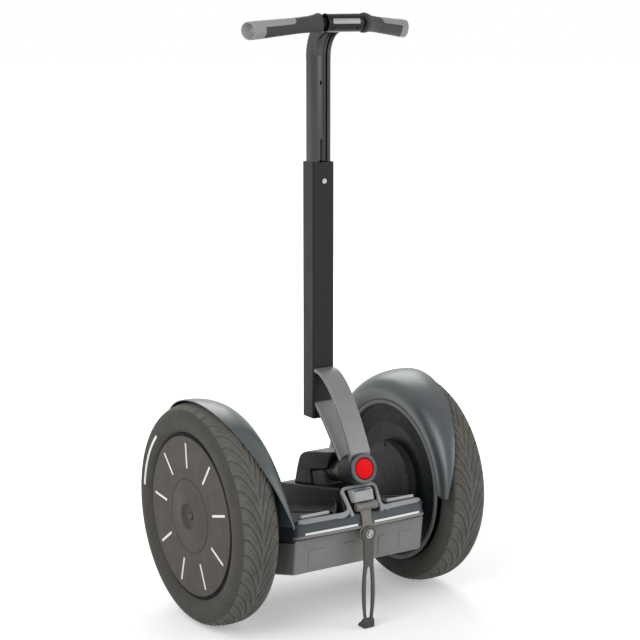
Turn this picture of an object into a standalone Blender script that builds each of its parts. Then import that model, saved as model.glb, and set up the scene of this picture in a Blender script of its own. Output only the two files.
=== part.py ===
# Two-wheeled self-balancing personal transporter, parked on its front stand.
# Metres. +X runs along the axle, towards the rider's left. -Y is the way it drives. +Z is up.
# The ground is z = 0, and the base is pitched nose up about the axle, as it stands when parked.

import math

import bmesh
import bpy
from mathutils import Matrix, Vector

# Fits
GAP = 0.0003                 # between solids that touch on the real machine
RUNNING = 0.0006             # round a thing that turns or slides
MERGE = 0.00001

# Stance
PARK_PITCH = math.radians(15)     # nose up
MAST_RAKE = math.radians(15)      # mast leans forward of the base's own upright
ORIGIN_SHIFT_Y = -0.00040         # puts the box's middle over the origin

# Wheels: 100/65-14 tyres
TYRE_RADIUS = 0.2428
TYRE_WIDTH = 0.098
WHEEL_X = 0.268
BEAD_RADIUS = 0.1763
RIM_HALF_WIDTH = 0.0385
RIM_DISC_X = 0.0260               # outer side of the rim's disc
RIM_DISC_WALL = 0.0080
COVER_SET_IN = 0.0040             # cover's edge inside the bead
COVER_RADIUS = BEAD_RADIUS - COVER_SET_IN
COVER_FACE = 0.042                # hub cover's flat face, outward of the wheel's middle
COVER_PROUD = 0.0048              # its cone ahead of that face
SHAFT_RADIUS = 0.015
THREAD_RADIUS = 0.010
SPIGOT_RADIUS = 0.009
HUB_INNER = -0.004
HUB_OUTER = 0.030

# Gearboxes and motors
CASE_RADIUS = 0.0893
CASE_WALL = 0.004
LID_INNER_X = 0.2050
LID_THICKNESS = 0.0035
CASE_OUTER_X = 0.2370
NECK_RADIUS = 0.033
NECK_OUTER_X = 0.2570
BEARING_X = 0.2400
BEARING_WIDTH = 0.0135
BEARING_RADIUS = 0.026
MOTOR_SET_IN = 0.0123             # motor axis inside the case's edge
MOTOR_DROP = CASE_RADIUS - MOTOR_SET_IN   # motor axis below the axle
MOTOR_RADIUS = 0.0295
MOTOR_INNER_X = 0.112
STATOR_BORE = 0.0222
ROTOR_RADIUS = 0.0216
ROTOR_SHAFT = 0.0040
LAY_SHAFT = 0.0050
BACKLASH = 0.0002
MODULE_1 = 0.0015
MODULE_2 = 0.0015
MOTOR_PINION_TEETH = 8
LAY_GEAR_TEETH = 40
LAY_PINION_TEETH = 10
OUTPUT_GEAR_TEETH = 48
STAGE_1_X = 0.2125
STAGE_1_WIDTH = 0.0075
STAGE_2_X = 0.2222
STAGE_2_WIDTH = 0.0105

# Fenders and wheel guards, as distances from the machine's middle and from the axle
FENDER_FIRST = math.radians(8)    # swept from the rear, in the base's own frame
FENDER_LAST = math.radians(191)
FENDER_PEAK = math.radians(100)
FENDER_EDGE_X = 0.197
FENDER_EDGE_REACH = 0.095
FENDER_CLEARANCE = 0.0072         # edge over the tread
FENDER_EDGE_RADIUS = TYRE_RADIUS + FENDER_CLEARANCE
FENDER_EDGE_DIP = 0.004           # edge nearer the axle towards the ends
FENDER_CROWN_X = 0.190
FENDER_CROWN_REACH = 0.033
FENDER_CROWN_DROP = 0.003
FENDER_CROWN_RISE = 0.0085
FENDER_FLANK_X = 0.185
FENDER_FLANK_REACH = 0.003
FENDER_FLANK_DROP = 0.0335
FENDER_LIP_X = 0.2135
FENDER_WALL = 0.0025
GUARD_RADIUS = 0.1830
GUARD_FLANGE_SET = 0.0015         # flange inboard of the fender's lip
GUARD_FLANGE_WIDTH = 0.0085
GUARD_STEP = 0.0040
GUARD_DISH = 0.0090
GUARD_WALL = 0.0022

# Base
CHASSIS_HALF_X = 0.1615
CHASSIS_HALF_Y = 0.184
CHASSIS_TOP = -0.0418             # heights in the base are from the axle
CHASSIS_BOTTOM = -0.0765
CHASSIS_WALL = 0.004
BAY_HALF_X = 0.150
BAY_HALF_Y = 0.120
FLANGE_OUTER_X = 0.2045
FLANGE_HALF_Y = 0.058
FLANGE_BOTTOM = -MOTOR_DROP - MOTOR_RADIUS - 0.0050
BOARD_HALF_X = 0.048
BOARD_SIDE_GAP = 0.002            # from the middle
BOARD_THICKNESS = 0.002
COMPONENT_HEIGHT = 0.014          # the tallest under the board
BATTERY_HALF_X = 0.166
BATTERY_BOTTOM = -0.1512
BATTERY_TOP_Y = CHASSIS_HALF_Y + 0.0025
BATTERY_BOTTOM_Y = CHASSIS_HALF_Y - 0.027
BATTERY_STEP_Y = 0.046
BATTERY_STEP_TOP = -MOTOR_DROP - MOTOR_RADIUS - 0.0023   # room over the batteries for the motors
BATTERY_SPLIT = 0.0015
BUMPER_DEPTH = 0.0256             # face ahead of the chassis, in the middle
BUMPER_NOSE_Y = CHASSIS_HALF_Y + BUMPER_DEPTH
BUMPER_ARC_RADIUS = 0.906
BUMPER_HALF_X = 0.166
BUMPER_CORNER = 0.018
BUMPER_BOTTOM = -0.0750
BUMPER_END_Y = 0.0625

# Mats
MAT_IN_X = 0.0575
MAT_OUT_X = 0.1575
MAT_HALF_Y = CHASSIS_HALF_Y - 0.016
MAT_TOP = -0.0330
MAT_TRAVEL = 0.0015
FRAME_IN_X = 0.0535
FRAME_OUT_X = 0.1640
FRAME_TOP = -0.0310
FRAME_SET_BACK = 0.006            # from the bumper's face
FRAME_CORNER = 0.014

# Console and lean pivot
CONSOLE_TOP_HALF_X = 0.0445
CONSOLE_FOOT_HALF_X = 0.0520
CONSOLE_TOP_AT_AXLE = 0.0286
CONSOLE_TOP_SLOPE = 0.066
CONSOLE_FRONT_TOP_Y = -CHASSIS_HALF_Y - 0.005
CONSOLE_REAR_Y = CHASSIS_HALF_Y - 0.002
CONSOLE_WALL = 0.003
NOSE_SLOPE = math.radians(23.3)   # console front, back from the upright
BEZEL_DEPTH = 0.007
BEZEL_TOP_HALF_X = 0.0445
BEZEL_FOOT_HALF_X = 0.0395
BEZEL_BAND = 0.0055
BEZEL_FOOT = -0.0450
BEZEL_RISE = 0.0005                # over the console's top edge
PIVOT_HEIGHT = 0.051
PIN_RADIUS = 0.010
PIN_NOSE_Y = -0.2260
BUSH_RADIUS = 0.0170
BARREL_RADIUS = 0.0332
BARREL_TAIL_RADIUS = 0.0245
BARREL_NOSE_Y = -0.2335
BARREL_TAIL_Y = -0.1127
POST_FRONT_Y = -0.1120
POST_REAR_Y = -0.0610
POST_FOOT_HALF_X = 0.029
POST_NECK_HALF_X = 0.0225
POST_SHOULDER = 0.0550
HUMP_HALF_X = 0.031
HUMP_TOP = 0.0988
HUMP_TIP_Y = -0.1540
MEDALLION_RADIUS = 0.0250

# Charge panel and flap
PANEL_HALF_X = 0.026
PANEL_FACE_Y = -BUMPER_NOSE_Y - 0.0048
PANEL_FOOT = -0.0193
PANEL_SHOULDER = 0.0040
SOCKET_HALF_X = 0.010
SOCKET_LOW = -0.0145
SOCKET_HIGH = -0.0015
SOCKET_DEPTH = 0.007
FLAP_HALF_X = 0.0135
FLAP_THICKNESS = 0.0020
FLAP_FOOT = -0.0178
FLAP_HINGE_Z = 0.0025
FLAP_KNUCKLE = 0.0018

# Mast, in the mast's own frame: z along the mast, y across it, from the axle
MAST_Y = -0.0283
SLEEVE_BOTTOM = 0.1872
SLEEVE_LENGTH = 0.5625
SLEEVE_X = 0.0538
SLEEVE_Y = 0.0445
SLEEVE_WALL = 0.0024
SLEEVE_CORNER = 0.004
RAIL_CORNER = 0.0045
INNER_BOTTOM = 0.300
INNER_BEND_RADIUS = 0.0717
CLAMP_HEIGHT = 1.0445
CLAMP_RADIUS = 0.0195
CLAMP_HALF_X = 0.043
BAR_RADIUS = 0.011
BAR_BEND_X = 0.0475
BAR_TIP = (0.2060, -0.0660, 1.0275)
BAR_SETBACK = 0.004
GRIP_RADIUS = 0.0180
RAIL_DEPTH = 0.0130
WEB_HALF_Y = 0.0115
SLOT_LOW = 0.620
SLOT_HIGH = 0.801
SLOT_HALF_X = 0.0043
LOCK_SCREW_HEIGHT = 0.709
LOCK_SCREW_RADIUS = 0.0035
LOCK_HEAD_RADIUS = 0.0060

# Lean arm's two straps, as side-view curves in the mast's frame
STRAP_THICKNESS = 0.009
STRAP_HALF_X = 0.0255
FRONT_STRAP_TOP = 0.3000
FRONT_STRAP_PULL = (-0.1020, 0.3010)
FRONT_STRAP_BULGE = (-0.1520, 0.2270)
FRONT_STRAP_END = (-0.2055, 0.1330)
REAR_STRAP_TOP = 0.2150
REAR_STRAP_PULL = (-0.0850, 0.2070)
REAR_STRAP_BULGE = (-0.1180, 0.1720)
REAR_STRAP_END = (-0.1600, 0.1080)

# Stand, in upright world directions from its bolt
BOLT_AHEAD = 0.0033               # of the bumper's face
BOLT_DROP = 0.01331               # below the bumper
BOLT_RUN = BUMPER_NOSE_Y + BOLT_AHEAD
BOLT_SINK = BOLT_DROP - BUMPER_BOTTOM
BOLT_Y = -BOLT_RUN * math.cos(PARK_PITCH) - BOLT_SINK * math.sin(PARK_PITCH)
BOLT_HEIGHT = TYRE_RADIUS + BOLT_RUN * math.sin(PARK_PITCH) - BOLT_SINK * math.cos(PARK_PITCH)
BOLT_RADIUS = 0.005
LEG_THICKNESS = 0.0065
LEG_HUB_RADIUS = 0.0175
LEG_SWING_ROOM = 0.006            # cleared round the hub, for the leg as it folds
LEG_HALF_X = 0.0150
LEG_SLOT_HALF_X = 0.0082
LEG_SLOT_TOP = 0.072              # below the bolt
FOOT_HEIGHT = 0.022
FOOT_HALF_X = 0.0150
FOOT_TOE = 0.0050
FOOT_HEEL = 0.0205
TEE_HALF_X = 0.0330
TEE_RADIUS = 0.0090
TEE_Y = -BUMPER_NOSE_Y - 0.0089
TEE_HEIGHT = -0.0285
BRACKET_HALF_X = 0.0160
BRACKET_THICKNESS = 0.0050
BOSS_RADIUS = 0.0185

# Facets
WHEEL_STEPS = 30
COVER_STEPS = 24
FENDER_STEPS = 18
CASE_STEPS = 18
SMALL_STEPS = 12

PARTS = "personal_transporter"
CUTTERS = "cutters"


def clear_scene():
    for thing in list(bpy.data.objects):
        bpy.data.objects.remove(thing, do_unlink=True)
    for name in (PARTS, CUTTERS):
        group = bpy.data.collections.get(name) or bpy.data.collections.new(name)
        if name not in bpy.context.scene.collection.children:
            bpy.context.scene.collection.children.link(group)


def finish(name, colour, roughness, metallic=0.0):
    """A plain Principled material."""
    made = bpy.data.materials.new(name)
    made.use_nodes = True
    shader = made.node_tree.nodes["Principled BSDF"]
    shader.inputs["Base Color"].default_value = (*colour, 1)
    shader.inputs["Roughness"].default_value = roughness
    shader.inputs["Metallic"].default_value = metallic
    return made


def empty(name, parent=None, location=(0, 0, 0), turn=(0, 0, 0)):
    frame = bpy.data.objects.new(name, None)
    frame.empty_display_size = 0.05
    frame.location = location
    frame.rotation_euler = turn
    frame.parent = parent
    bpy.data.collections[PARTS].objects.link(frame)
    return frame


def place(thing, parent=None, material=None, location=(0, 0, 0), turn=(0, 0, 0), smooth=30):
    """Links a made object to the parts, with its parent, place and finish."""
    thing.parent = parent
    thing.location = location
    thing.rotation_euler = turn
    if not thing.users_collection:
        bpy.data.collections[PARTS].objects.link(thing)
    if material:
        thing.data.materials.append(material)
    if smooth and thing.type == "MESH":
        thing.data.shade_smooth()
        thing.data.set_sharp_from_angle(angle=math.radians(smooth))
    return thing


def as_object(name, mesh):
    """Turns a bmesh into an object and frees it."""
    data = bpy.data.meshes.new(name)
    mesh.to_mesh(data)
    mesh.free()
    return bpy.data.objects.new(name, data)


def box(name, low, high):
    mesh = bmesh.new()
    middle = [(a + b) / 2 for a, b in zip(low, high)]
    size = [b - a for a, b in zip(low, high)]
    bmesh.ops.create_cube(mesh, size=1, matrix=Matrix.Translation(middle) @ Matrix.Diagonal((*size, 1)))
    return as_object(name, mesh)


def rod(name, radius, start, end, steps=SMALL_STEPS):
    """A cylinder from one point to another."""
    start, end = Vector(start), Vector(end)
    mesh = bmesh.new()
    turn = (end - start).to_track_quat("Z", "Y").to_matrix().to_4x4()
    bmesh.ops.create_cone(mesh, cap_ends=True, segments=steps, radius1=radius, radius2=radius,
                          depth=(end - start).length,
                          matrix=Matrix.Translation((start + end) / 2) @ turn)
    return as_object(name, mesh)


def turned(name, profile, steps=CASE_STEPS):
    """A (radius, height) outline turned about local Z. Points on the axis are merged.

    The faces point out when the outline runs down its outer side, so it is put that way round."""
    data = bpy.data.meshes.new(name)
    around = zip(profile, profile[1:] + profile[:1])
    if sum(r1 * h2 - r2 * h1 for (r1, h1), (r2, h2) in around) > 0:
        profile = profile[::-1]
    count = len(profile)
    closed = all(radius > MERGE for radius, _ in profile)
    edges = [(i, i + 1) for i in range(count - 1)] + ([(count - 1, 0)] if closed else [])
    data.from_pydata([(radius, 0, height) for radius, height in profile], edges, [])
    thing = bpy.data.objects.new(name, data)
    screw = thing.modifiers.new("turn", "SCREW")
    screw.axis = "Z"
    screw.steps = steps
    screw.render_steps = steps
    screw.use_merge_vertices = True
    screw.merge_threshold = MERGE
    screw.use_smooth_shade = True
    return thing


def prism(name, outline, half, axis="X", holes=()):
    """A flat outline given thickness, 'half' each way along X, Y or Z.

    The outline's points are (Y, Z) along X, (X, Z) along Y and (X, Y) along Z."""
    curve = bpy.data.curves.new(name, "CURVE")
    curve.dimensions = "2D"
    curve.fill_mode = "BOTH"
    curve.extrude = half
    for loop in (outline, *holes):
        spline = curve.splines.new("POLY")
        spline.points.add(len(loop) - 1)
        for point, (u, v) in zip(spline.points, loop):
            point.co = (u, v, 0, 1)
        spline.use_cyclic_u = True
    flat = bpy.data.objects.new(name + "_flat", curve)
    bpy.context.scene.collection.objects.link(flat)
    bpy.context.view_layer.update()
    seen = flat.evaluated_get(bpy.context.evaluated_depsgraph_get())
    data = bpy.data.meshes.new_from_object(seen)
    data.name = name
    bpy.data.objects.remove(flat, do_unlink=True)
    mesh = bmesh.new()
    mesh.from_mesh(data)
    bmesh.ops.remove_doubles(mesh, verts=mesh.verts, dist=MERGE)
    if not holes:
        bmesh.ops.dissolve_limit(mesh, angle_limit=math.radians(0.5), verts=mesh.verts, edges=mesh.edges)
    bmesh.ops.recalc_face_normals(mesh, faces=mesh.faces)
    turn = {"X": Matrix(((0, 0, 1), (1, 0, 0), (0, 1, 0))),
            "Y": Matrix(((1, 0, 0), (0, 0, -1), (0, 1, 0))),
            "Z": Matrix.Identity(3)}[axis]
    bmesh.ops.transform(mesh, matrix=turn.to_4x4(), verts=mesh.verts)
    mesh.to_mesh(data)
    mesh.free()
    return bpy.data.objects.new(name, data)


def moved(thing, offset):
    thing.data.transform(Matrix.Translation(offset))
    return thing


def bevel(thing, width, segments=1, angle=35):
    """Rounds the edges that are sharper than an angle."""
    rounding = thing.modifiers.new("round", "BEVEL")
    rounding.width = width
    rounding.segments = segments
    rounding.limit_method = "ANGLE"
    rounding.angle_limit = math.radians(angle)
    rounding.use_clamp_overlap = True
    return thing


def shape(thing, tool, operation, parent=None, location=(0, 0, 0), turn=(0, 0, 0)):
    """Cuts a tool from a piece or joins it on. The tool stays as a guide."""
    tool.name = thing.name + "_tool"
    tool.parent = parent
    tool.location = location
    tool.rotation_euler = turn
    tool.hide_render = True
    tool.display_type = "WIRE"
    bpy.data.collections[CUTTERS].objects.link(tool)
    change = thing.modifiers.new(operation.lower(), "BOOLEAN")
    change.operation = operation
    change.solver = "EXACT"
    change.object = tool
    return thing


def arc(centre, radius, first, last, steps):
    """Points on an arc, both ends included. Angles in radians."""
    span = [first + (last - first) * i / steps for i in range(steps + 1)]
    return [(centre[0] + radius * math.cos(a), centre[1] + radius * math.sin(a)) for a in span]


def rounded(half_x, half_y, corner, steps=2):
    """A rectangle with round corners about the origin."""
    points = []
    for sx, sy, first in ((1, 1, 0), (-1, 1, 90), (-1, -1, 180), (1, -1, 270)):
        centre = (sx * (half_x - corner), sy * (half_y - corner))
        points += arc(centre, corner, math.radians(first), math.radians(first + 90), steps)
    return points


def bezier(p0, p1, p2, p3, steps):
    points = []
    for i in range(steps + 1):
        t = i / steps
        s = 1 - t
        points.append(tuple(s ** 3 * a + 3 * s * s * t * b + 3 * s * t * t * c + t ** 3 * d
                            for a, b, c, d in zip(p0, p1, p2, p3)))
    return points


def outward(side):
    """The turn that points local Z along the axle, away from the machine."""
    return (0, side * math.pi / 2, 0)


def side_name(side):
    return "left" if side > 0 else "right"


def gear_outline(teeth, module, phase, root_play=1.2):
    """Straight-sided teeth: two points at each tip, and one or two at the root between them."""
    pitch_radius = teeth * module / 2
    tip = pitch_radius + module
    step = 2 * math.pi / teeth
    points = []
    if teeth > 20:
        corners = ((tip, -0.07), (tip, 0.07), (pitch_radius - 1.9 * module, 0.5))
    else:
        root = pitch_radius - root_play * module
        corners = ((root, -0.33), (tip, -0.11), (tip, 0.11), (root, 0.33))
    for tooth in range(teeth):
        middle = phase + tooth * step
        for radius, share in corners:
            angle = middle + share * step
            points.append((radius * math.cos(angle), radius * math.sin(angle)))
    return points


def clear_bore(radius, steps, play=GAP):
    """The corner radius of a faceted hole whose flats still clear a round of this radius."""
    return (radius + play) / math.cos(math.pi / steps)


def circle(radius, steps):
    return [(radius * math.cos(2 * math.pi * i / steps), radius * math.sin(2 * math.pi * i / steps))
            for i in range(steps)]


# Wheels

def make_tyre(side, axle, rubber):
    half = TYRE_WIDTH / 2
    crown = TYRE_RADIUS
    flange = BEAD_RADIUS + 0.0055
    one_side = [(crown, 0), (crown - 0.0016, 0.44 * half), (crown - 0.0085, 0.77 * half),
                (crown - 0.0205, 0.95 * half), (crown - 0.0350, half), (flange + 0.0040, 0.87 * half),
                (flange, RIM_HALF_WIDTH - 0.0038), (BEAD_RADIUS, RIM_HALF_WIDTH - 0.0038),
                (BEAD_RADIUS, 0.52 * half), (crown - 0.0360, 0.78 * half), (crown - 0.0100, 0.50 * half)]
    other = [(radius, -height) for radius, height in reversed(one_side[1:])]
    thing = turned(f"{side_name(side)}_tyre", one_side + other, WHEEL_STEPS)
    return place(thing, axle, rubber, (side * WHEEL_X, 0, 0), outward(side))


def make_rim(side, axle, metal):
    lip = BEAD_RADIUS + 0.0047
    seat = BEAD_RADIUS - GAP
    shoulder = RIM_HALF_WIDTH - 0.0033
    well = 0.9274 * BEAD_RADIUS
    hub = 2.533 * SHAFT_RADIUS
    loop = [(lip, RIM_HALF_WIDTH), (lip, shoulder), (seat, shoulder), (seat, -shoulder), (lip, -shoulder),
            (lip, -RIM_HALF_WIDTH), (0.97 * BEAD_RADIUS, -RIM_HALF_WIDTH), (well, -0.42 * RIM_HALF_WIDTH),
            (well, RIM_DISC_X - RIM_DISC_WALL), (3 * SHAFT_RADIUS, 0.54 * RIM_DISC_X), (hub, HUB_INNER),
            (SHAFT_RADIUS + GAP, HUB_INNER), (SHAFT_RADIUS + GAP, HUB_OUTER), (hub, HUB_OUTER),
            (3.35 * SHAFT_RADIUS, 0.85 * RIM_DISC_X), (well, RIM_DISC_X), (0.964 * BEAD_RADIUS, RIM_HALF_WIDTH)]
    thing = turned(f"{side_name(side)}_rim", loop, WHEEL_STEPS)
    return place(thing, axle, metal, (side * WHEEL_X, 0, 0), outward(side))


def make_hub_cover(side, axle, plastic):
    back = COVER_FACE - 0.003
    spacer_out, spacer_in = 0.94 * COVER_RADIUS, 0.911 * COVER_RADIUS
    spacer_foot = RIM_DISC_X + GAP
    proud = COVER_PROUD
    loop = [(0, COVER_FACE + 0.1 * proud), (0.052 * COVER_RADIUS, COVER_FACE + 0.2 * proud),
            (0.11 * COVER_RADIUS, COVER_FACE + proud), (0.26 * COVER_RADIUS, COVER_FACE + 0.7 * proud),
            (0.444 * COVER_RADIUS, COVER_FACE), (COVER_RADIUS - 0.001, COVER_FACE),
            (COVER_RADIUS, COVER_FACE - 0.001), (COVER_RADIUS, back), (spacer_out, back),
            (spacer_out, spacer_foot), (spacer_in, spacer_foot), (spacer_in, back), (0, back)]
    thing = turned(f"{side_name(side)}_hub_cover", loop, COVER_STEPS)
    return place(thing, axle, plastic, (side * WHEEL_X, 0, 0), outward(side))


def make_axle_shaft(side, axle, steel):
    tip = COVER_FACE - 0.0045
    shoulder = WHEEL_X + HUB_INNER - GAP
    hub_end = WHEEL_X + HUB_OUTER
    loop = [(0, WHEEL_X + tip), (THREAD_RADIUS, WHEEL_X + tip), (THREAD_RADIUS, hub_end - 0.001),
            (SHAFT_RADIUS, hub_end - 0.001), (SHAFT_RADIUS, shoulder), (0.0235, shoulder),
            (0.0235, NECK_OUTER_X + GAP), (SHAFT_RADIUS, NECK_OUTER_X + GAP),
            (SHAFT_RADIUS, BEARING_X), (0.0125, BEARING_X), (0.0125, STAGE_2_X),
            (SPIGOT_RADIUS, STAGE_2_X), (SPIGOT_RADIUS, LID_INNER_X + 0.0015), (0, LID_INNER_X + 0.0015)]
    thing = turned(f"{side_name(side)}_axle_shaft", loop, SMALL_STEPS + 2)
    return place(thing, axle, steel, (0, 0, 0), outward(side))


def make_hub_nut(side, axle, steel):
    name = f"{side_name(side)}_hub_nut"
    across = 0.0170
    nut = prism(name, circle(across, 6), 0.0034, "Z", [circle(THREAD_RADIUS + GAP, SMALL_STEPS + 2)])
    middle = WHEEL_X + HUB_OUTER + 0.0034 + GAP
    return place(nut, axle, steel, (side * middle, 0, 0), outward(side))


# Gear trains: motor pinion, lay gear and pinion, output gear

def centre_distance(first, second, module):
    return (first + second) * module / 2 + BACKLASH


def lay_shaft_place():
    """Where the lay shaft sits, from the two centre distances. Behind and below the axle."""
    to_output = centre_distance(LAY_PINION_TEETH, OUTPUT_GEAR_TEETH, MODULE_2)
    to_motor = centre_distance(MOTOR_PINION_TEETH, LAY_GEAR_TEETH, MODULE_1)
    drop = (to_output ** 2 - to_motor ** 2 + MOTOR_DROP ** 2) / (2 * MOTOR_DROP)
    return math.sqrt(max(to_output ** 2 - drop ** 2, 0)), -drop


def local_angle(side, towards):
    """The angle, in a gear's own plane, of a direction (y, z) on the machine."""
    y, z = towards
    return math.atan2(y, -side * z)


def make_output_gear(side, axle, steel):
    name = f"{side_name(side)}_output_gear"
    phase = local_angle(side, lay_shaft_place())
    gear = prism(name, gear_outline(OUTPUT_GEAR_TEETH, MODULE_2, phase), STAGE_2_WIDTH / 2, "Z",
                 [circle(clear_bore(0.0125, SMALL_STEPS), SMALL_STEPS)])
    middle = STAGE_2_X + STAGE_2_WIDTH / 2
    return place(gear, axle, steel, (side * middle, 0, 0), outward(side))


def make_lay_gear(side, axle, steel):
    """The lay shaft with its gear and pinion in one piece."""
    y, z = lay_shaft_place()
    name = f"{side_name(side)}_lay_gear"
    to_output = local_angle(side, (-y, -z))
    to_motor = local_angle(side, (-y, -MOTOR_DROP - z))
    start = LID_INNER_X + 0.0015
    end = CASE_OUTER_X - 0.0010
    shaft = turned(name, [(0, end), (LAY_SHAFT, end), (LAY_SHAFT, start), (0, start)], SMALL_STEPS)
    place(shaft, axle, steel, (0, y, z), outward(side))
    gear = prism("gear", gear_outline(LAY_GEAR_TEETH, MODULE_1, to_motor), STAGE_1_WIDTH / 2, "Z")
    middle_1 = STAGE_1_X + STAGE_1_WIDTH / 2
    shape(shaft, gear, "UNION", axle, (side * middle_1, y, z), outward(side))
    step = math.pi / LAY_PINION_TEETH
    overlap = 0.002
    half = (STAGE_2_X + STAGE_2_WIDTH - STAGE_1_X - STAGE_1_WIDTH + overlap) / 2
    pinion = prism("pinion", gear_outline(LAY_PINION_TEETH, MODULE_2, to_output + step), half, "Z")
    middle_2 = STAGE_2_X + STAGE_2_WIDTH - half
    shape(shaft, pinion, "UNION", axle, (side * middle_2, y, z), outward(side))
    return shaft


def make_rotor(side, axle, steel):
    """Motor rotor, its shaft and its pinion."""
    name = f"{side_name(side)}_motor_rotor"
    y, z = lay_shaft_place()
    towards_lay = local_angle(side, (y, z + MOTOR_DROP))
    step = math.pi / MOTOR_PINION_TEETH
    drum_in = MOTOR_INNER_X + 0.0065
    drum_out = LID_INNER_X - 0.0090
    loop = [(0, STAGE_1_X + 0.001), (ROTOR_SHAFT, STAGE_1_X + 0.001), (ROTOR_SHAFT, drum_out),
            (ROTOR_RADIUS, drum_out), (ROTOR_RADIUS, drum_in), (0, drum_in)]
    rotor = turned(name, loop, SMALL_STEPS)
    place(rotor, axle, steel, (0, 0, -MOTOR_DROP), outward(side))
    pinion = prism("pinion", gear_outline(MOTOR_PINION_TEETH, MODULE_1, towards_lay + step, 1.0),
                   STAGE_1_WIDTH / 2, "Z")
    middle = STAGE_1_X + STAGE_1_WIDTH / 2
    return shape(rotor, pinion, "UNION", axle, (side * middle, 0, -MOTOR_DROP), outward(side))


def make_motor_case(side, base, metal):
    end = LID_INNER_X - GAP
    loop = [(STATOR_BORE, end), (MOTOR_RADIUS, end), (MOTOR_RADIUS, MOTOR_INNER_X + 0.003),
            (MOTOR_RADIUS - 0.003, MOTOR_INNER_X), (0, MOTOR_INNER_X), (0, MOTOR_INNER_X + 0.0055),
            (STATOR_BORE, MOTOR_INNER_X + 0.0055)]
    thing = turned_cup(f"{side_name(side)}_motor_case", loop, CASE_STEPS)
    return place(thing, base, metal, (0, 0, -MOTOR_DROP), outward(side))


def turned_cup(name, loop, steps):
    """A cup: its outline starts at the mouth, goes down the outside to the axis and back up."""
    on_axis = [i for i, (radius, _) in enumerate(loop) if radius < MERGE]
    run = loop[on_axis[1]:] + loop[:on_axis[0] + 1]
    return turned(name, run, steps)


def make_gearbox_case(side, base, metal):
    inner = CASE_RADIUS - CASE_WALL
    start = LID_INNER_X + LID_THICKNESS + GAP
    seat = BEARING_RADIUS + GAP
    loop = [(CASE_RADIUS, CASE_OUTER_X - 0.002), (CASE_RADIUS, start), (inner, start),
            (inner, CASE_OUTER_X - GAP), (seat, CASE_OUTER_X - GAP),
            (seat, NECK_OUTER_X - 0.002), (SHAFT_RADIUS + RUNNING, NECK_OUTER_X - 0.002),
            (SHAFT_RADIUS + RUNNING, NECK_OUTER_X), (NECK_RADIUS, NECK_OUTER_X),
            (NECK_RADIUS + 0.004, CASE_OUTER_X + CASE_WALL), (CASE_RADIUS - 0.006, CASE_OUTER_X + CASE_WALL)]
    thing = turned(f"{side_name(side)}_gearbox_case", loop, CASE_STEPS)
    return place(thing, base, metal, (0, 0, 0), outward(side))


def make_gearbox_lid(side, base, metal):
    """The round inboard plate, with the motor shaft's hole and a boss for each shaft end."""
    name = f"{side_name(side)}_gearbox_lid"
    edge = LID_INNER_X + LID_THICKNESS
    loop = [(0, edge), (CASE_RADIUS - 0.006, edge), (CASE_RADIUS, edge), (CASE_RADIUS, LID_INNER_X + 0.0015),
            (CASE_RADIUS - 0.0015, LID_INNER_X), (0, LID_INNER_X)]
    lid = turned(name, loop, CASE_STEPS)
    place(lid, base, metal, (0, 0, 0), outward(side))
    y, z = lay_shaft_place()
    holes = ((0, 0, SPIGOT_RADIUS + GAP, 0.0012), (y, z, LAY_SHAFT + GAP, 0.0012),
             (0, -MOTOR_DROP, ROTOR_SHAFT + GAP, -0.002))
    for hole_y, hole_z, radius, depth in holes:
        low = side * (LID_INNER_X + depth)
        tool = rod("hole", radius, (low, hole_y, hole_z), (side * (edge + 0.002), hole_y, hole_z))
        shape(lid, tool, "DIFFERENCE", base)
    return lid


def make_bearing(side, base, steel):
    loop = [(SHAFT_RADIUS + GAP, BEARING_X + BEARING_WIDTH), (BEARING_RADIUS, BEARING_X + BEARING_WIDTH),
            (BEARING_RADIUS, BEARING_X), (SHAFT_RADIUS + GAP, BEARING_X)]
    thing = turned(f"{side_name(side)}_wheel_bearing", loop, CASE_STEPS)
    return place(thing, base, steel, (0, 0, 0), outward(side))


# Fenders and guards

def fender_section(sweep, steps):
    """One section of the fender, as (distance from the middle, radius), edge to lip.

    The edge over the tyre reaches furthest at the top and draws in towards both ends."""
    reach = max(math.cos(sweep - FENDER_PEAK), 0)
    edge_radius = FENDER_EDGE_RADIUS
    edge = (FENDER_EDGE_X + FENDER_EDGE_REACH * reach, edge_radius - FENDER_EDGE_DIP * (1 - reach))
    crown = (FENDER_CROWN_X + FENDER_CROWN_REACH * reach,
             edge_radius - FENDER_CROWN_DROP + FENDER_CROWN_RISE * reach)
    flank = (FENDER_FLANK_X - FENDER_FLANK_REACH * reach, edge_radius - FENDER_FLANK_DROP)
    return bezier(edge, crown, flank, (FENDER_LIP_X, GUARD_RADIUS), steps)


def make_fender(side, base, plastic):
    """An open sheet of sections swept round the axle, given its wall by Solidify."""
    around, across = FENDER_STEPS, 6
    mesh = bmesh.new()
    rows = []
    for i in range(around + 1):
        sweep = FENDER_FIRST + (FENDER_LAST - FENDER_FIRST) * i / around
        rows.append([mesh.verts.new((side * x, radius * math.cos(sweep), radius * math.sin(sweep)))
                     for x, radius in fender_section(sweep, across)])
    for first, second in zip(rows, rows[1:]):
        for j in range(across):
            quad = (first[j], first[j + 1], second[j + 1], second[j])
            mesh.faces.new(quad if side > 0 else tuple(reversed(quad)))
    thing = as_object(f"{side_name(side)}_fender", mesh)
    wall = thing.modifiers.new("wall", "SOLIDIFY")
    wall.thickness = FENDER_WALL
    wall.offset = -1
    return place(thing, base, plastic)


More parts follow.
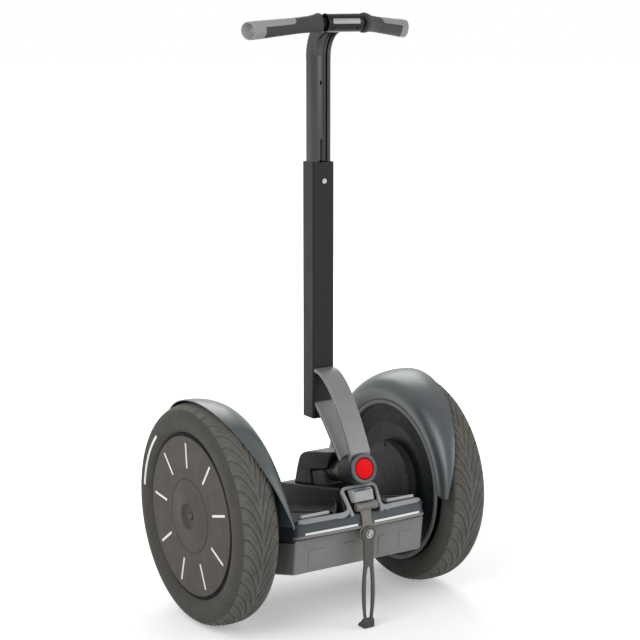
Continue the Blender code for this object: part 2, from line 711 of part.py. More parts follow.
def make_guard(side, base, plastic):
    """The round dished guard between the gearbox and the tyre."""
    hole = clear_bore(CASE_RADIUS, COVER_STEPS)
    fender_facet = (FENDER_LAST - FENDER_FIRST) / FENDER_STEPS
    rim = GUARD_RADIUS * math.cos(fender_facet / 2) - GAP
    flange = FENDER_LIP_X - GUARD_FLANGE_SET
    step_radius = GUARD_RADIUS - GUARD_FLANGE_WIDTH
    dish = flange + GUARD_STEP
    face = [(rim, flange), (step_radius, flange), (step_radius - GUARD_STEP * 1.125, dish), (hole, dish + GUARD_DISH)]
    back = [(radius, height + GUARD_WALL) for radius, height in face]
    thing = turned(f"{side_name(side)}_wheel_guard", back + face[::-1], COVER_STEPS)
    return place(thing, base, plastic, (0, 0, 0), outward(side))


# Base

def make_chassis(base, metal):
    body = box("chassis", (-CHASSIS_HALF_X, -CHASSIS_HALF_Y, CHASSIS_BOTTOM),
               (CHASSIS_HALF_X, CHASSIS_HALF_Y, CHASSIS_TOP))
    place(body, base, metal, smooth=0)
    flanges = box("flanges", (-FLANGE_OUTER_X, -FLANGE_HALF_Y, FLANGE_BOTTOM),
                  (FLANGE_OUTER_X, FLANGE_HALF_Y, CHASSIS_TOP - 0.002))
    shape(body, flanges, "UNION", base)
    roof = CHASSIS_TOP - CHASSIS_WALL
    bay = box("bay", (-BAY_HALF_X, -BAY_HALF_Y, FLANGE_BOTTOM - 0.01), (BAY_HALF_X, BAY_HALF_Y, roof))
    shape(body, bay, "DIFFERENCE", base)
    under = FLANGE_BOTTOM - 0.01
    step = CHASSIS_HALF_X + 0.0050
    slab = box("slab", (-step, -CHASSIS_HALF_Y, under), (step, CHASSIS_HALF_Y, CHASSIS_BOTTOM))
    shape(body, slab, "DIFFERENCE", base)
    bore = rod("bore", clear_bore(MOTOR_RADIUS, CASE_STEPS), (-0.3, 0, -MOTOR_DROP), (0.3, 0, -MOTOR_DROP), CASE_STEPS)
    return shape(body, bore, "DIFFERENCE", base)


def make_battery(front, base, plastic):
    """One half of the floor. The stepped top leaves room for the motors."""
    top = CHASSIS_BOTTOM - GAP
    outline = [(BATTERY_TOP_Y, top), (BATTERY_STEP_Y, top), (BATTERY_STEP_Y, BATTERY_STEP_TOP),
               (BATTERY_SPLIT, BATTERY_STEP_TOP), (BATTERY_SPLIT, BATTERY_BOTTOM), (BATTERY_BOTTOM_Y, BATTERY_BOTTOM)]
    if front:
        outline = [(-y, z) for y, z in outline]
    name = "front_battery" if front else "rear_battery"
    return place(bevel(prism(name, outline, BATTERY_HALF_X), 0.004), base, plastic)


def bumper_face(x, inset=0):
    """How far ahead the bumper's curved face lies at a distance from the middle."""
    return BUMPER_NOSE_Y - inset - x * x / (2 * BUMPER_ARC_RADIUS)


def make_bumper(front, base, plastic):
    """A curved face with round corners and straight sides, wrapped round the chassis."""
    name = "front_bumper" if front else "rear_bumper"
    spread = BUMPER_HALF_X - BUMPER_CORNER
    half = [(spread * i / 4, -bumper_face(spread * i / 4)) for i in range(5)]
    centre = (spread, half[-1][1] + BUMPER_CORNER)
    half += arc(centre, BUMPER_CORNER, math.radians(-60), 0, 2)
    half += [(BUMPER_HALF_X, -BUMPER_END_Y)]
    outline = half + [(-x, y) for x, y in reversed(half[1:])]
    if not front:
        outline = [(x, -y) for x, y in outline]
    tall = (CHASSIS_TOP - GAP - BUMPER_BOTTOM) / 2
    thing = moved(prism(name, outline, tall, "Z"), (0, 0, BUMPER_BOTTOM + tall))
    place(bevel(thing, 0.0025, 1, 60), base, plastic)
    inside = box("inside", (-CHASSIS_HALF_X - GAP, -CHASSIS_HALF_Y - GAP, -0.2),
                 (CHASSIS_HALF_X + GAP, CHASSIS_HALF_Y + GAP, 0.1))
    return shape(thing, inside, "DIFFERENCE", base)


def make_mat(side, mat_frame, rubber):
    name = f"{side_name(side)}_mat"
    low = CHASSIS_TOP + GAP + MAT_TRAVEL
    middle, half_x = side * (MAT_IN_X + MAT_OUT_X) / 2, (MAT_OUT_X - MAT_IN_X) / 2
    mat = box(name, (middle - half_x, -MAT_HALF_Y, low), (middle + half_x, MAT_HALF_Y, MAT_TOP))
    return place(bevel(mat, 0.0015), mat_frame, rubber)


def make_mat_frame(side, base, plastic):
    """The light trim round a mat, its ends following the bumpers."""
    name = f"{side_name(side)}_mat_frame"
    inner_front = -bumper_face(FRAME_IN_X, FRAME_SET_BACK)
    outer_front = -bumper_face(FRAME_OUT_X - FRAME_CORNER, FRAME_SET_BACK)
    front = [(FRAME_IN_X, inner_front), (0.1, -bumper_face(0.1, FRAME_SET_BACK))]
    front += arc((FRAME_OUT_X - FRAME_CORNER, outer_front + FRAME_CORNER), FRAME_CORNER,
                 math.radians(-90), 0, 3)
    outline = [(side * x, y) for x, y in front] + [(side * x, -y) for x, y in reversed(front)]
    low = CHASSIS_TOP + GAP
    half = (FRAME_TOP - low) / 2
    thing = moved(prism(name, outline, half, "Z"), (0, 0, low + half))
    place(bevel(thing, 0.002, 1, 60), base, plastic)
    middle = side * (MAT_IN_X + MAT_OUT_X) / 2
    half_x = (MAT_OUT_X - MAT_IN_X) / 2 + RUNNING
    opening = box("opening", (middle - half_x, -MAT_HALF_Y - RUNNING, low - 0.01),
                  (middle + half_x, MAT_HALF_Y + RUNNING, FRAME_TOP + 0.01))
    return shape(thing, opening, "DIFFERENCE", base)


def console_top(y):
    return CONSOLE_TOP_AT_AXLE + CONSOLE_TOP_SLOPE * y


def nose_y(height, ahead=0):
    """The console's sloping front at a height, and anything that stands ahead of it."""
    top = console_top(CONSOLE_FRONT_TOP_Y)
    return CONSOLE_FRONT_TOP_Y - (top - height) * math.tan(NOSE_SLOPE) - ahead


def console_outline(inset=0):
    foot = CHASSIS_TOP + GAP
    rise = 0.055
    points = [(nose_y(foot) + inset, foot - inset), (CONSOLE_REAR_Y - inset, foot - inset),
              (CONSOLE_REAR_Y - inset, -0.028 - inset / 2), (CONSOLE_REAR_Y - 0.035, 0.000 - inset),
              (0.085, console_top(rise) - inset * 1.2), (rise, console_top(rise) - inset),
              (CONSOLE_FRONT_TOP_Y + inset, console_top(CONSOLE_FRONT_TOP_Y) - inset)]
    return points


def taper_sides(thing, half_x):
    """Draws a prism's sides in towards its top, as the console's sides are."""
    foot = CHASSIS_TOP
    height = CONSOLE_TOP_AT_AXLE - foot
    for vertex in thing.data.vertices:
        share = (vertex.co.z - foot) / height
        lean = (CONSOLE_FOOT_HALF_X - CONSOLE_TOP_HALF_X) * share
        vertex.co.x = math.copysign(half_x - lean, vertex.co.x)
    return thing


def make_console(base, plastic):
    """A long cover down the middle, open below, with a hole for the pivot post."""
    body = taper_sides(prism("console", console_outline(), CONSOLE_FOOT_HALF_X), CONSOLE_FOOT_HALF_X)
    place(bevel(body, 0.006, 2), base, plastic)
    hollow = prism("hollow", console_outline(CONSOLE_WALL), CONSOLE_FOOT_HALF_X)
    taper_sides(hollow, CONSOLE_FOOT_HALF_X - CONSOLE_WALL)
    shape(body, hollow, "DIFFERENCE", base)
    play = GAP
    hole = box("hole", (-POST_FOOT_HALF_X - play, POST_FRONT_Y - play, 0),
               (POST_FOOT_HALF_X + play, POST_REAR_Y + play, 0.1))
    shape(body, hole, "DIFFERENCE", base)
    groove = rod("groove", clear_bore(TEE_RADIUS, SMALL_STEPS), (-TEE_HALF_X - play, TEE_Y, TEE_HEIGHT),
                 (TEE_HALF_X + play, TEE_Y, TEE_HEIGHT))
    shape(body, groove, "DIFFERENCE", base)
    notch = box("notch", (-BRACKET_HALF_X - play, -0.3, CHASSIS_TOP - 0.01),
                (BRACKET_HALF_X + play, bracket_back() + play, TEE_HEIGHT))
    return shape(body, notch, "DIFFERENCE", base)


def make_bezel(base, plastic):
    """The light arch round the console's front, leaning with it."""
    top = console_top(CONSOLE_FRONT_TOP_Y)
    foot = BEZEL_FOOT
    length = (top + BEZEL_RISE - foot) / math.cos(NOSE_SLOPE)
    corner = 0.010
    outer = [(-BEZEL_FOOT_HALF_X, 0)]
    outer += arc((-BEZEL_TOP_HALF_X + corner, length - corner), corner, math.pi, math.pi / 2, 3)
    outer += [(-x, y) for x, y in reversed(outer)]
    band = BEZEL_BAND
    inner = [(BEZEL_FOOT_HALF_X - band, 0)]
    inner += arc((BEZEL_TOP_HALF_X - corner, length - corner), corner - band, 0, math.pi / 2, 3)
    inner += [(-x, y) for x, y in reversed(inner)]
    arch = prism("console_bezel", outer + inner, BEZEL_DEPTH / 2, "Y")
    ahead = (BEZEL_DEPTH / 2 + GAP) / math.cos(NOSE_SLOPE)
    place(arch, base, plastic, (0, nose_y(foot, ahead), foot), (-NOSE_SLOPE, 0, 0))
    return bevel(arch, 0.0012)


def make_charge_panel(base, plastic):
    """The light block inside the arch, with the recess of the charge socket."""
    bezel_top = console_top(CONSOLE_FRONT_TOP_Y) + BEZEL_RISE
    bar_drop = BEZEL_BAND * math.cos(NOSE_SLOPE) + BEZEL_DEPTH / 2 * math.sin(NOSE_SLOPE)
    top = bezel_top - bar_drop - RUNNING
    outline = [(nose_y(PANEL_FOOT, GAP), PANEL_FOOT), (PANEL_FACE_Y, PANEL_FOOT),
               (PANEL_FACE_Y, PANEL_SHOULDER), (PANEL_FACE_Y + 0.0070, top - 0.0010),
               (nose_y(top, GAP) - 0.002, top), (nose_y(top, GAP), top)]
    panel = prism("charge_panel", outline, PANEL_HALF_X)
    place(bevel(panel, 0.0012), base, plastic)
    socket = box("socket", (-SOCKET_HALF_X, PANEL_FACE_Y - 0.01, SOCKET_LOW),
                 (SOCKET_HALF_X, PANEL_FACE_Y + SOCKET_DEPTH, SOCKET_HIGH))
    return shape(panel, socket, "DIFFERENCE", base)


def make_charge_flap(base, plastic):
    """The socket's cover, hinged along its top edge."""
    hinge_y = PANEL_FACE_Y - GAP - FLAP_KNUCKLE
    hinge = empty("flap_hinge", base, (0, hinge_y, FLAP_HINGE_Z))
    back = FLAP_KNUCKLE
    front = back - FLAP_THICKNESS
    foot = FLAP_FOOT - FLAP_HINGE_Z
    knuckle = arc((0, 0), FLAP_KNUCKLE, math.radians(0), math.radians(200), 6)
    outline = knuckle + [(front, foot), (back, foot)]
    return place(prism("charge_flap", outline, FLAP_HALF_X), hinge, plastic)


def make_pivot_post(base, metal):
    """The block on the chassis that carries the lean pivot, with its pin."""
    post = box("pivot_post", (-POST_FOOT_HALF_X, POST_FRONT_Y, CHASSIS_TOP + GAP),
               (POST_FOOT_HALF_X, POST_REAR_Y, POST_SHOULDER))
    place(post, base, metal)
    neck = box("neck", (-POST_NECK_HALF_X, POST_FRONT_Y, 0.02),
               (POST_NECK_HALF_X, POST_REAR_Y, PIVOT_HEIGHT + POST_NECK_HALF_X))
    shape(post, neck, "UNION", base)
    pin = rod("pin", PIN_RADIUS, (0, POST_REAR_Y - 0.01, PIVOT_HEIGHT), (0, PIN_NOSE_Y, PIVOT_HEIGHT))
    return shape(post, pin, "UNION", base)


def make_pivot_bush(base, rubber):
    """The rubber torsion bush that brings the mast back upright."""
    back = BARREL_TAIL_Y - 0.003
    front = PIN_NOSE_Y + 0.004
    loop = [(PIN_RADIUS + GAP, back), (PIN_RADIUS + GAP, front), (BUSH_RADIUS, front), (BUSH_RADIUS, back)]
    thing = turned("pivot_bush", [(radius, -y) for radius, y in loop], CASE_STEPS)
    return place(thing, base, rubber, (0, 0, PIVOT_HEIGHT), (math.pi / 2, 0, 0))


def make_hump(base, plastic):
    """The cover over the pivot post, its tip reaching over the barrel's tail."""
    def seat(y):
        return console_top(y) + GAP
    rear = 0.018
    skirt = POST_SHOULDER + 0.0010
    notch = POST_REAR_Y + 0.0008
    outline = [(rear, seat(rear)), (-0.0070, 0.0710), (-0.0240, HUMP_TOP - 0.0060), (-0.0500, HUMP_TOP),
               (HUMP_TIP_Y + 0.004, HUMP_TOP - 0.0060), (HUMP_TIP_Y, HUMP_TOP - 0.0130),
               (-0.1300, skirt), (notch, skirt), (notch, seat(notch))]
    hump = bevel(prism("console_hump", outline, HUMP_HALF_X), 0.004, 1, 30)
    place(hump, base, plastic)
    play = GAP
    block = box("block", (-POST_FOOT_HALF_X - play, POST_FRONT_Y - 0.01, 0),
                (POST_FOOT_HALF_X + play, POST_REAR_Y + play, POST_SHOULDER + play))
    shape(hump, block, "DIFFERENCE", base)
    pocket = box("pocket", (-POST_NECK_HALF_X - play, POST_FRONT_Y - 0.0015, 0),
                 (POST_NECK_HALF_X + play, POST_REAR_Y + play, PIVOT_HEIGHT + POST_NECK_HALF_X + play))
    shape(hump, pocket, "DIFFERENCE", base)
    throat = rod("throat", BARREL_TAIL_RADIUS + 0.0040, (0, POST_FRONT_Y, PIVOT_HEIGHT),
                 (0, HUMP_TIP_Y - 0.02, PIVOT_HEIGHT), CASE_STEPS)
    return shape(hump, throat, "DIFFERENCE", base)


def make_balance_sensor(base, metal):
    """The sensor can that stands on the chassis under the console."""
    low = CHASSIS_TOP + GAP
    can = rod("balance_sensor", 0.014, (0, 0.035, low), (0, 0.035, low + 0.026), CASE_STEPS)
    return place(bevel(can, 0.002, 1, 60), base, metal)


def make_control_board(side, base, board):
    """A circuit board with its tall components, under the chassis roof."""
    name = f"{side_name(side)}_control_board"
    top = CHASSIS_TOP - CHASSIS_WALL - GAP
    under = top - BOARD_THICKNESS
    reach = BAY_HALF_Y / 1.2
    outline = [(-reach, top), (-reach, under)]
    for first, last, tall in ((-0.80, -0.56, 1.0), (-0.20, 0.20, 0.64), (0.60, 0.86, 0.86)):
        foot = under - tall * COMPONENT_HEIGHT
        outline += [(first * reach, under), (first * reach, foot), (last * reach, foot), (last * reach, under)]
    outline += [(reach, under), (reach, top)]
    half = BOARD_HALF_X
    thing = moved(prism(name, outline, half), (side * (half + BOARD_SIDE_GAP), 0, 0))
    return place(thing, base, board, smooth=0)


# Lean arm and mast

def strap(name, top, pull, bulge, end):
    """A bent strap. Its outer face follows a side-view curve from the sleeve to the barrel."""
    start = (MAST_Y - SLEEVE_Y / 2 - GAP, top)
    outer = bezier(start, pull, bulge, end, 7)
    inner = []
    for i, (y, z) in enumerate(outer):
        ahead = outer[min(i + 1, len(outer) - 1)]
        behind = outer[max(i - 1, 0)]
        run = Vector((ahead[0] - behind[0], ahead[1] - behind[1]))
        if i == 0:
            run = Vector((-1, 0))
        run.normalize()
        inner.append((y - run.y * STRAP_THICKNESS, z + run.x * STRAP_THICKNESS))
    return prism(name, outer + inner[::-1], STRAP_HALF_X)


def make_lean_arm(lean, mast, metal):
    """The casting that joins the sleeve to the pivot: two straps and the pivot barrel."""
    nose = BARREL_NOSE_Y
    loop = [(0, nose), (BARREL_RADIUS - 0.001, nose), (BARREL_RADIUS, nose + 0.001),
            (BARREL_RADIUS, -0.178), (BARREL_TAIL_RADIUS, -0.146), (BARREL_TAIL_RADIUS, BARREL_TAIL_Y),
            (0, BARREL_TAIL_Y)]
    arm = turned("lean_arm", [(radius, -y) for radius, y in loop], CASE_STEPS)
    place(arm, lean, metal, (0, 0, 0), (math.pi / 2, 0, 0))
    front = strap("front", FRONT_STRAP_TOP, FRONT_STRAP_PULL, FRONT_STRAP_BULGE, FRONT_STRAP_END)
    rear = strap("rear", REAR_STRAP_TOP, REAR_STRAP_PULL, REAR_STRAP_BULGE, REAR_STRAP_END)
    shape(arm, front, "UNION", mast)
    shape(arm, rear, "UNION", mast)
    bore = rod("bore", clear_bore(BUSH_RADIUS, CASE_STEPS), (0, BARREL_TAIL_Y + 0.02, 0), (0, PIN_NOSE_Y - 0.001, 0), CASE_STEPS)
    shape(arm, bore, "DIFFERENCE", lean)
    recess = rod("recess", clear_bore(MEDALLION_RADIUS, CASE_STEPS), (0, nose + 0.0035, 0), (0, nose - 0.02, 0), CASE_STEPS)
    return shape(arm, recess, "DIFFERENCE", lean)


def make_medallion(lean, enamel):
    face = BARREL_NOSE_Y + 0.0035 - GAP
    loop = [(0, face), (MEDALLION_RADIUS, face), (MEDALLION_RADIUS, BARREL_NOSE_Y + 0.001),
            (MEDALLION_RADIUS * 0.75, BARREL_NOSE_Y), (0, BARREL_NOSE_Y - 0.0008)]
    disc = turned("medallion", [(radius, -y) for radius, y in loop][::-1], CASE_STEPS)
    return place(disc, lean, enamel, (0, 0, 0), (math.pi / 2, 0, 0))


def make_sleeve(mast, metal):
    """The outer mast tube, open at both ends, with the height screw's hole."""
    outer = rounded(SLEEVE_X / 2, SLEEVE_Y / 2, SLEEVE_CORNER)
    bore = rounded(SLEEVE_X / 2 - SLEEVE_WALL, SLEEVE_Y / 2 - SLEEVE_WALL, SLEEVE_CORNER - SLEEVE_WALL)
    half = SLEEVE_LENGTH / 2
    tube = moved(prism("mast_sleeve", outer, half, "Z", [bore]), (0, MAST_Y, SLEEVE_BOTTOM + half))
    place(tube, mast, metal)
    face = MAST_Y - SLEEVE_Y / 2
    hole = rod("hole", LOCK_SCREW_RADIUS + GAP, (0, face - 0.01, LOCK_SCREW_HEIGHT),
               (0, face + SLEEVE_WALL + 0.001, LOCK_SCREW_HEIGHT))
    return shape(tube, hole, "DIFFERENCE", mast)


def make_lock_screw(mast, steel):
    """The height screw: its head on the sleeve, its shank in the inner mast's slot."""
    face = MAST_Y - SLEEVE_Y / 2 - GAP
    tip = MAST_Y - WEB_HALF_Y + 0.010
    loop = [(0, face - 0.0035), (LOCK_HEAD_RADIUS - 0.001, face - 0.0035), (LOCK_HEAD_RADIUS, face - 0.0025),
            (LOCK_HEAD_RADIUS, face), (LOCK_SCREW_RADIUS, face), (LOCK_SCREW_RADIUS, tip), (0, tip)]
    thing = turned("height_screw", [(radius, -y) for radius, y in loop], SMALL_STEPS)
    return place(thing, mast, steel, (0, 0, LOCK_SCREW_HEIGHT), (math.pi / 2, 0, 0))


def mast_section():
    """Half-round rails either side of a thinner web, centred on the mast."""
    half_x = SLEEVE_X / 2 - SLEEVE_WALL - RUNNING
    half_y = SLEEVE_Y / 2 - SLEEVE_WALL - RUNNING
    corner = RAIL_CORNER
    rail_in = half_x - RAIL_DEPTH
    quarter = arc((half_x - corner, half_y - corner), corner, 0, math.pi / 2, 2)
    quarter += [(rail_in + 0.002, half_y), (rail_in, half_y - 0.002), (rail_in - 0.003, WEB_HALF_Y)]
    quadrants = quarter + [(-x, y) for x, y in reversed(quarter)]
    return quadrants + [(-x, -y) for x, y in quadrants]


def make_inner_mast(rise, metal):
    """The inner mast: straight up, then bent forward to the clamp, with its height slot."""
    bend_start = CLAMP_HEIGHT - INNER_BEND_RADIUS
    mesh = bmesh.new()
    ring = [mesh.verts.new((x, MAST_Y + y, INNER_BOTTOM)) for x, y in mast_section()]
    face = mesh.faces.new(ring)
    grown = bmesh.ops.extrude_face_region(mesh, geom=[face])
    top = [item for item in grown["geom"] if isinstance(item, bmesh.types.BMFace)]
    moving = [item for item in grown["geom"] if isinstance(item, bmesh.types.BMVert)]
    bmesh.ops.translate(mesh, verts=moving, vec=(0, 0, bend_start - INNER_BOTTOM))
    bmesh.ops.spin(mesh, geom=top, cent=(0, MAST_Y - INNER_BEND_RADIUS, bend_start), axis=(1, 0, 0),
                   angle=math.pi / 2, steps=6)
    inside = [item for item in mesh.faces if item in top]
    bmesh.ops.delete(mesh, geom=inside, context="FACES_ONLY")
    bmesh.ops.remove_doubles(mesh, verts=mesh.verts, dist=MERGE)
    bmesh.ops.recalc_face_normals(mesh, faces=mesh.faces)
    inner = place(as_object("inner_mast", mesh), rise, metal)
    clamp_y = MAST_Y - INNER_BEND_RADIUS - CLAMP_RADIUS
    saddle = rod("saddle", clear_bore(CLAMP_RADIUS, CASE_STEPS), (-0.1, clamp_y, CLAMP_HEIGHT), (0.1, clamp_y, CLAMP_HEIGHT), CASE_STEPS)
    shape(inner, saddle, "DIFFERENCE", rise)
    slot = prism("slot", slot_outline(SLOT_HALF_X, SLOT_LOW, SLOT_HIGH), 0.05, "Y")
    return shape(inner, slot, "DIFFERENCE", rise, (0, MAST_Y, 0))


def slot_outline(half, low, high):
    """A slot with round ends, as (X, Z) points."""
    return (arc((0, high - half), half, 0, math.pi, 4) + arc((0, low + half), half, math.pi, 2 * math.pi, 4))


def clamp_centre():
    return Vector((0, MAST_Y - INNER_BEND_RADIUS - CLAMP_RADIUS, CLAMP_HEIGHT))


def make_clamp(rise, plastic):
    half = CLAMP_HALF_X
    bore = clear_bore(BAR_RADIUS, CASE_STEPS)
    loop = [(CLAMP_RADIUS, half - 0.0015), (CLAMP_RADIUS, -half + 0.0015), (CLAMP_RADIUS - 0.0015, -half),
            (bore, -half), (bore, half), (CLAMP_RADIUS - 0.0015, half)]
    clamp = turned("handlebar_clamp", loop, CASE_STEPS)
    return place(clamp, rise, plastic, clamp_centre(), (0, math.pi / 2, 0))


def bar_point(side, share):
    """A point on the bar's straight outer run: 0 at the bend, 1 at the tip."""
    centre = clamp_centre()
    bend = Vector((side * BAR_BEND_X, centre.y, centre.z))
    tip = Vector((side * BAR_TIP[0], BAR_TIP[1], BAR_TIP[2]))
    return bend.lerp(tip, share)


def make_handlebar(rise, metal):
    """One bent bar from grip to grip."""
    centre = clamp_centre()
    length = (bar_point(1, 1) - bar_point(1, 0)).length
    end = 1 - BAR_SETBACK / length
    curve = bpy.data.curves.new("handlebar", "CURVE")
    curve.dimensions = "3D"
    curve.bevel_depth = BAR_RADIUS
    curve.bevel_resolution = 2
    curve.use_fill_caps = True
    curve.render_resolution_u = 0
    straight = Vector((BAR_BEND_X - 0.004, 0, 0))
    right = [bar_point(-1, end), bar_point(-1, 0.03), centre - straight]
    left = [centre + straight, bar_point(1, 0.03), bar_point(1, end)]
    spline = curve.splines.new("POLY")
    spline.points.add(len(right + left) - 1)
    for point, spot in zip(spline.points, right + left):
        point.co = (*spot, 1)
    return place(bpy.data.objects.new("handlebar", curve), rise, metal)


def make_grip(side, rise, rubber):
    """A grip turned about the bar's outer run: flared collar, waist and hollow tip."""
    start, tip = bar_point(side, 0), bar_point(side, 1)
    length = (tip - start).length
    bore = clear_bore(BAR_RADIUS, SMALL_STEPS)
    first = 0.005
    loop = [(bore, first), (0.0205, first), (0.0215, first + 0.004), (0.0195, first + 0.012),
            (GRIP_RADIUS - 0.001, 0.34 * length), (GRIP_RADIUS, 0.62 * length),
            (GRIP_RADIUS + 0.0010, length - 0.006), (GRIP_RADIUS - 0.0015, length),
            (bore + 0.0010, length), (bore, length - 0.003)]
    thing = turned(f"{side_name(side)}_grip", loop, SMALL_STEPS)
    turn = (tip - start).to_track_quat("Z", "Y").to_euler()
    return place(thing, rise, rubber, start, turn)


# Stand

def bracket_back():
    """Where the bracket's plate lies on the front bumper."""
    return -BUMPER_NOSE_Y - GAP


def make_stand_bracket(base, upright, metal):
    """The tee fixed under the console's nose, with the boss for the leg's bolt."""
    tee = rod("stand_bracket", TEE_RADIUS, (-TEE_HALF_X, TEE_Y, TEE_HEIGHT), (TEE_HALF_X, TEE_Y, TEE_HEIGHT))
    place(bevel(tee, 0.003, 1, 60), base, metal)
    back = bracket_back()
    plate = box("plate", (-BRACKET_HALF_X, back - BRACKET_THICKNESS, BUMPER_BOTTOM - 0.014),
                (BRACKET_HALF_X, back, TEE_HEIGHT))
    shape(tee, plate, "UNION", base)
    leg_back = LEG_THICKNESS / 2 + GAP
    boss = rod("boss", BOSS_RADIUS, (0, leg_back, 0), (0, leg_back + 0.011, 0), CASE_STEPS)
    shape(tee, boss, "UNION", upright)
    behind = box("behind", (-0.05, back, BUMPER_BOTTOM - GAP), (0.05, 0, 0.02))
    shape(tee, behind, "DIFFERENCE", base)
    swing = rod("swing", LEG_HUB_RADIUS + LEG_SWING_ROOM, (0, leg_back, 0), (0, leg_back - 0.02, 0), CASE_STEPS)
    shape(tee, swing, "DIFFERENCE", upright)
    hole = rod("hole", BOLT_RADIUS + GAP, (0, -0.02, 0), (0, leg_back + 0.008, 0))
    return shape(tee, hole, "DIFFERENCE", upright)


def make_stand_bolt(upright, steel):
    face = LEG_THICKNESS / 2 + GAP
    loop = [(0, -face - 0.006), (0.0075, -face - 0.006), (0.0090, -face - 0.004), (0.0090, -face),
            (BOLT_RADIUS, -face), (BOLT_RADIUS, face + 0.0075), (0, face + 0.0075)]
    thing = turned("stand_bolt", [(radius, -y) for radius, y in loop], SMALL_STEPS)
    return place(thing, upright, steel, (0, 0, 0), (math.pi / 2, 0, 0))


def leg_outline(length):
    """Round hub, straight sides and a slight waist above the foot, as (X, Z) points."""
    hub = arc((0, 0), LEG_HUB_RADIUS, math.radians(-40), math.radians(220), 8)
    side_top = -0.024
    bottom = -length + FOOT_HEIGHT * 0.5
    left = [(-LEG_HALF_X + 0.001, side_top), (-LEG_HALF_X, -0.6 * length), (-LEG_HALF_X + 0.003, bottom)]
    return hub + left + [(-x, z) for x, z in reversed(left)]


def make_stand_leg(swing, length, metal):
    slot_bottom = -length + FOOT_HEIGHT + 0.004
    slot = [(LEG_SLOT_HALF_X - 0.002, slot_bottom), (LEG_SLOT_HALF_X, -0.6 * length),
            (LEG_SLOT_HALF_X - 0.002, -LEG_SLOT_TOP)]
    slot += [(-x, z) for x, z in reversed(slot)]
    hole = circle(BOLT_RADIUS + GAP, SMALL_STEPS)
    leg = prism("stand_leg", leg_outline(length), LEG_THICKNESS / 2, "Y", [slot, hole])
    return place(leg, swing, metal)


def make_stand_foot(swing, length, rubber):
    """The rubber shoe on the leg's end, flat on the ground."""
    shoe = box("stand_foot", (-FOOT_HALF_X, -FOOT_TOE, -length), (FOOT_HALF_X, FOOT_HEEL, -length + FOOT_HEIGHT))
    place(bevel(shoe, 0.003, 1), swing, rubber)
    bottom = -length + FOOT_HEIGHT * 0.5 - GAP
    half = LEG_HALF_X - 0.003 + GAP
    thick = LEG_THICKNESS / 2 + GAP
    pocket = box("pocket", (-half - 0.0006, -thick, bottom), (half + 0.0006, thick, 0))
    return shape(shoe, pocket, "DIFFERENCE", swing)


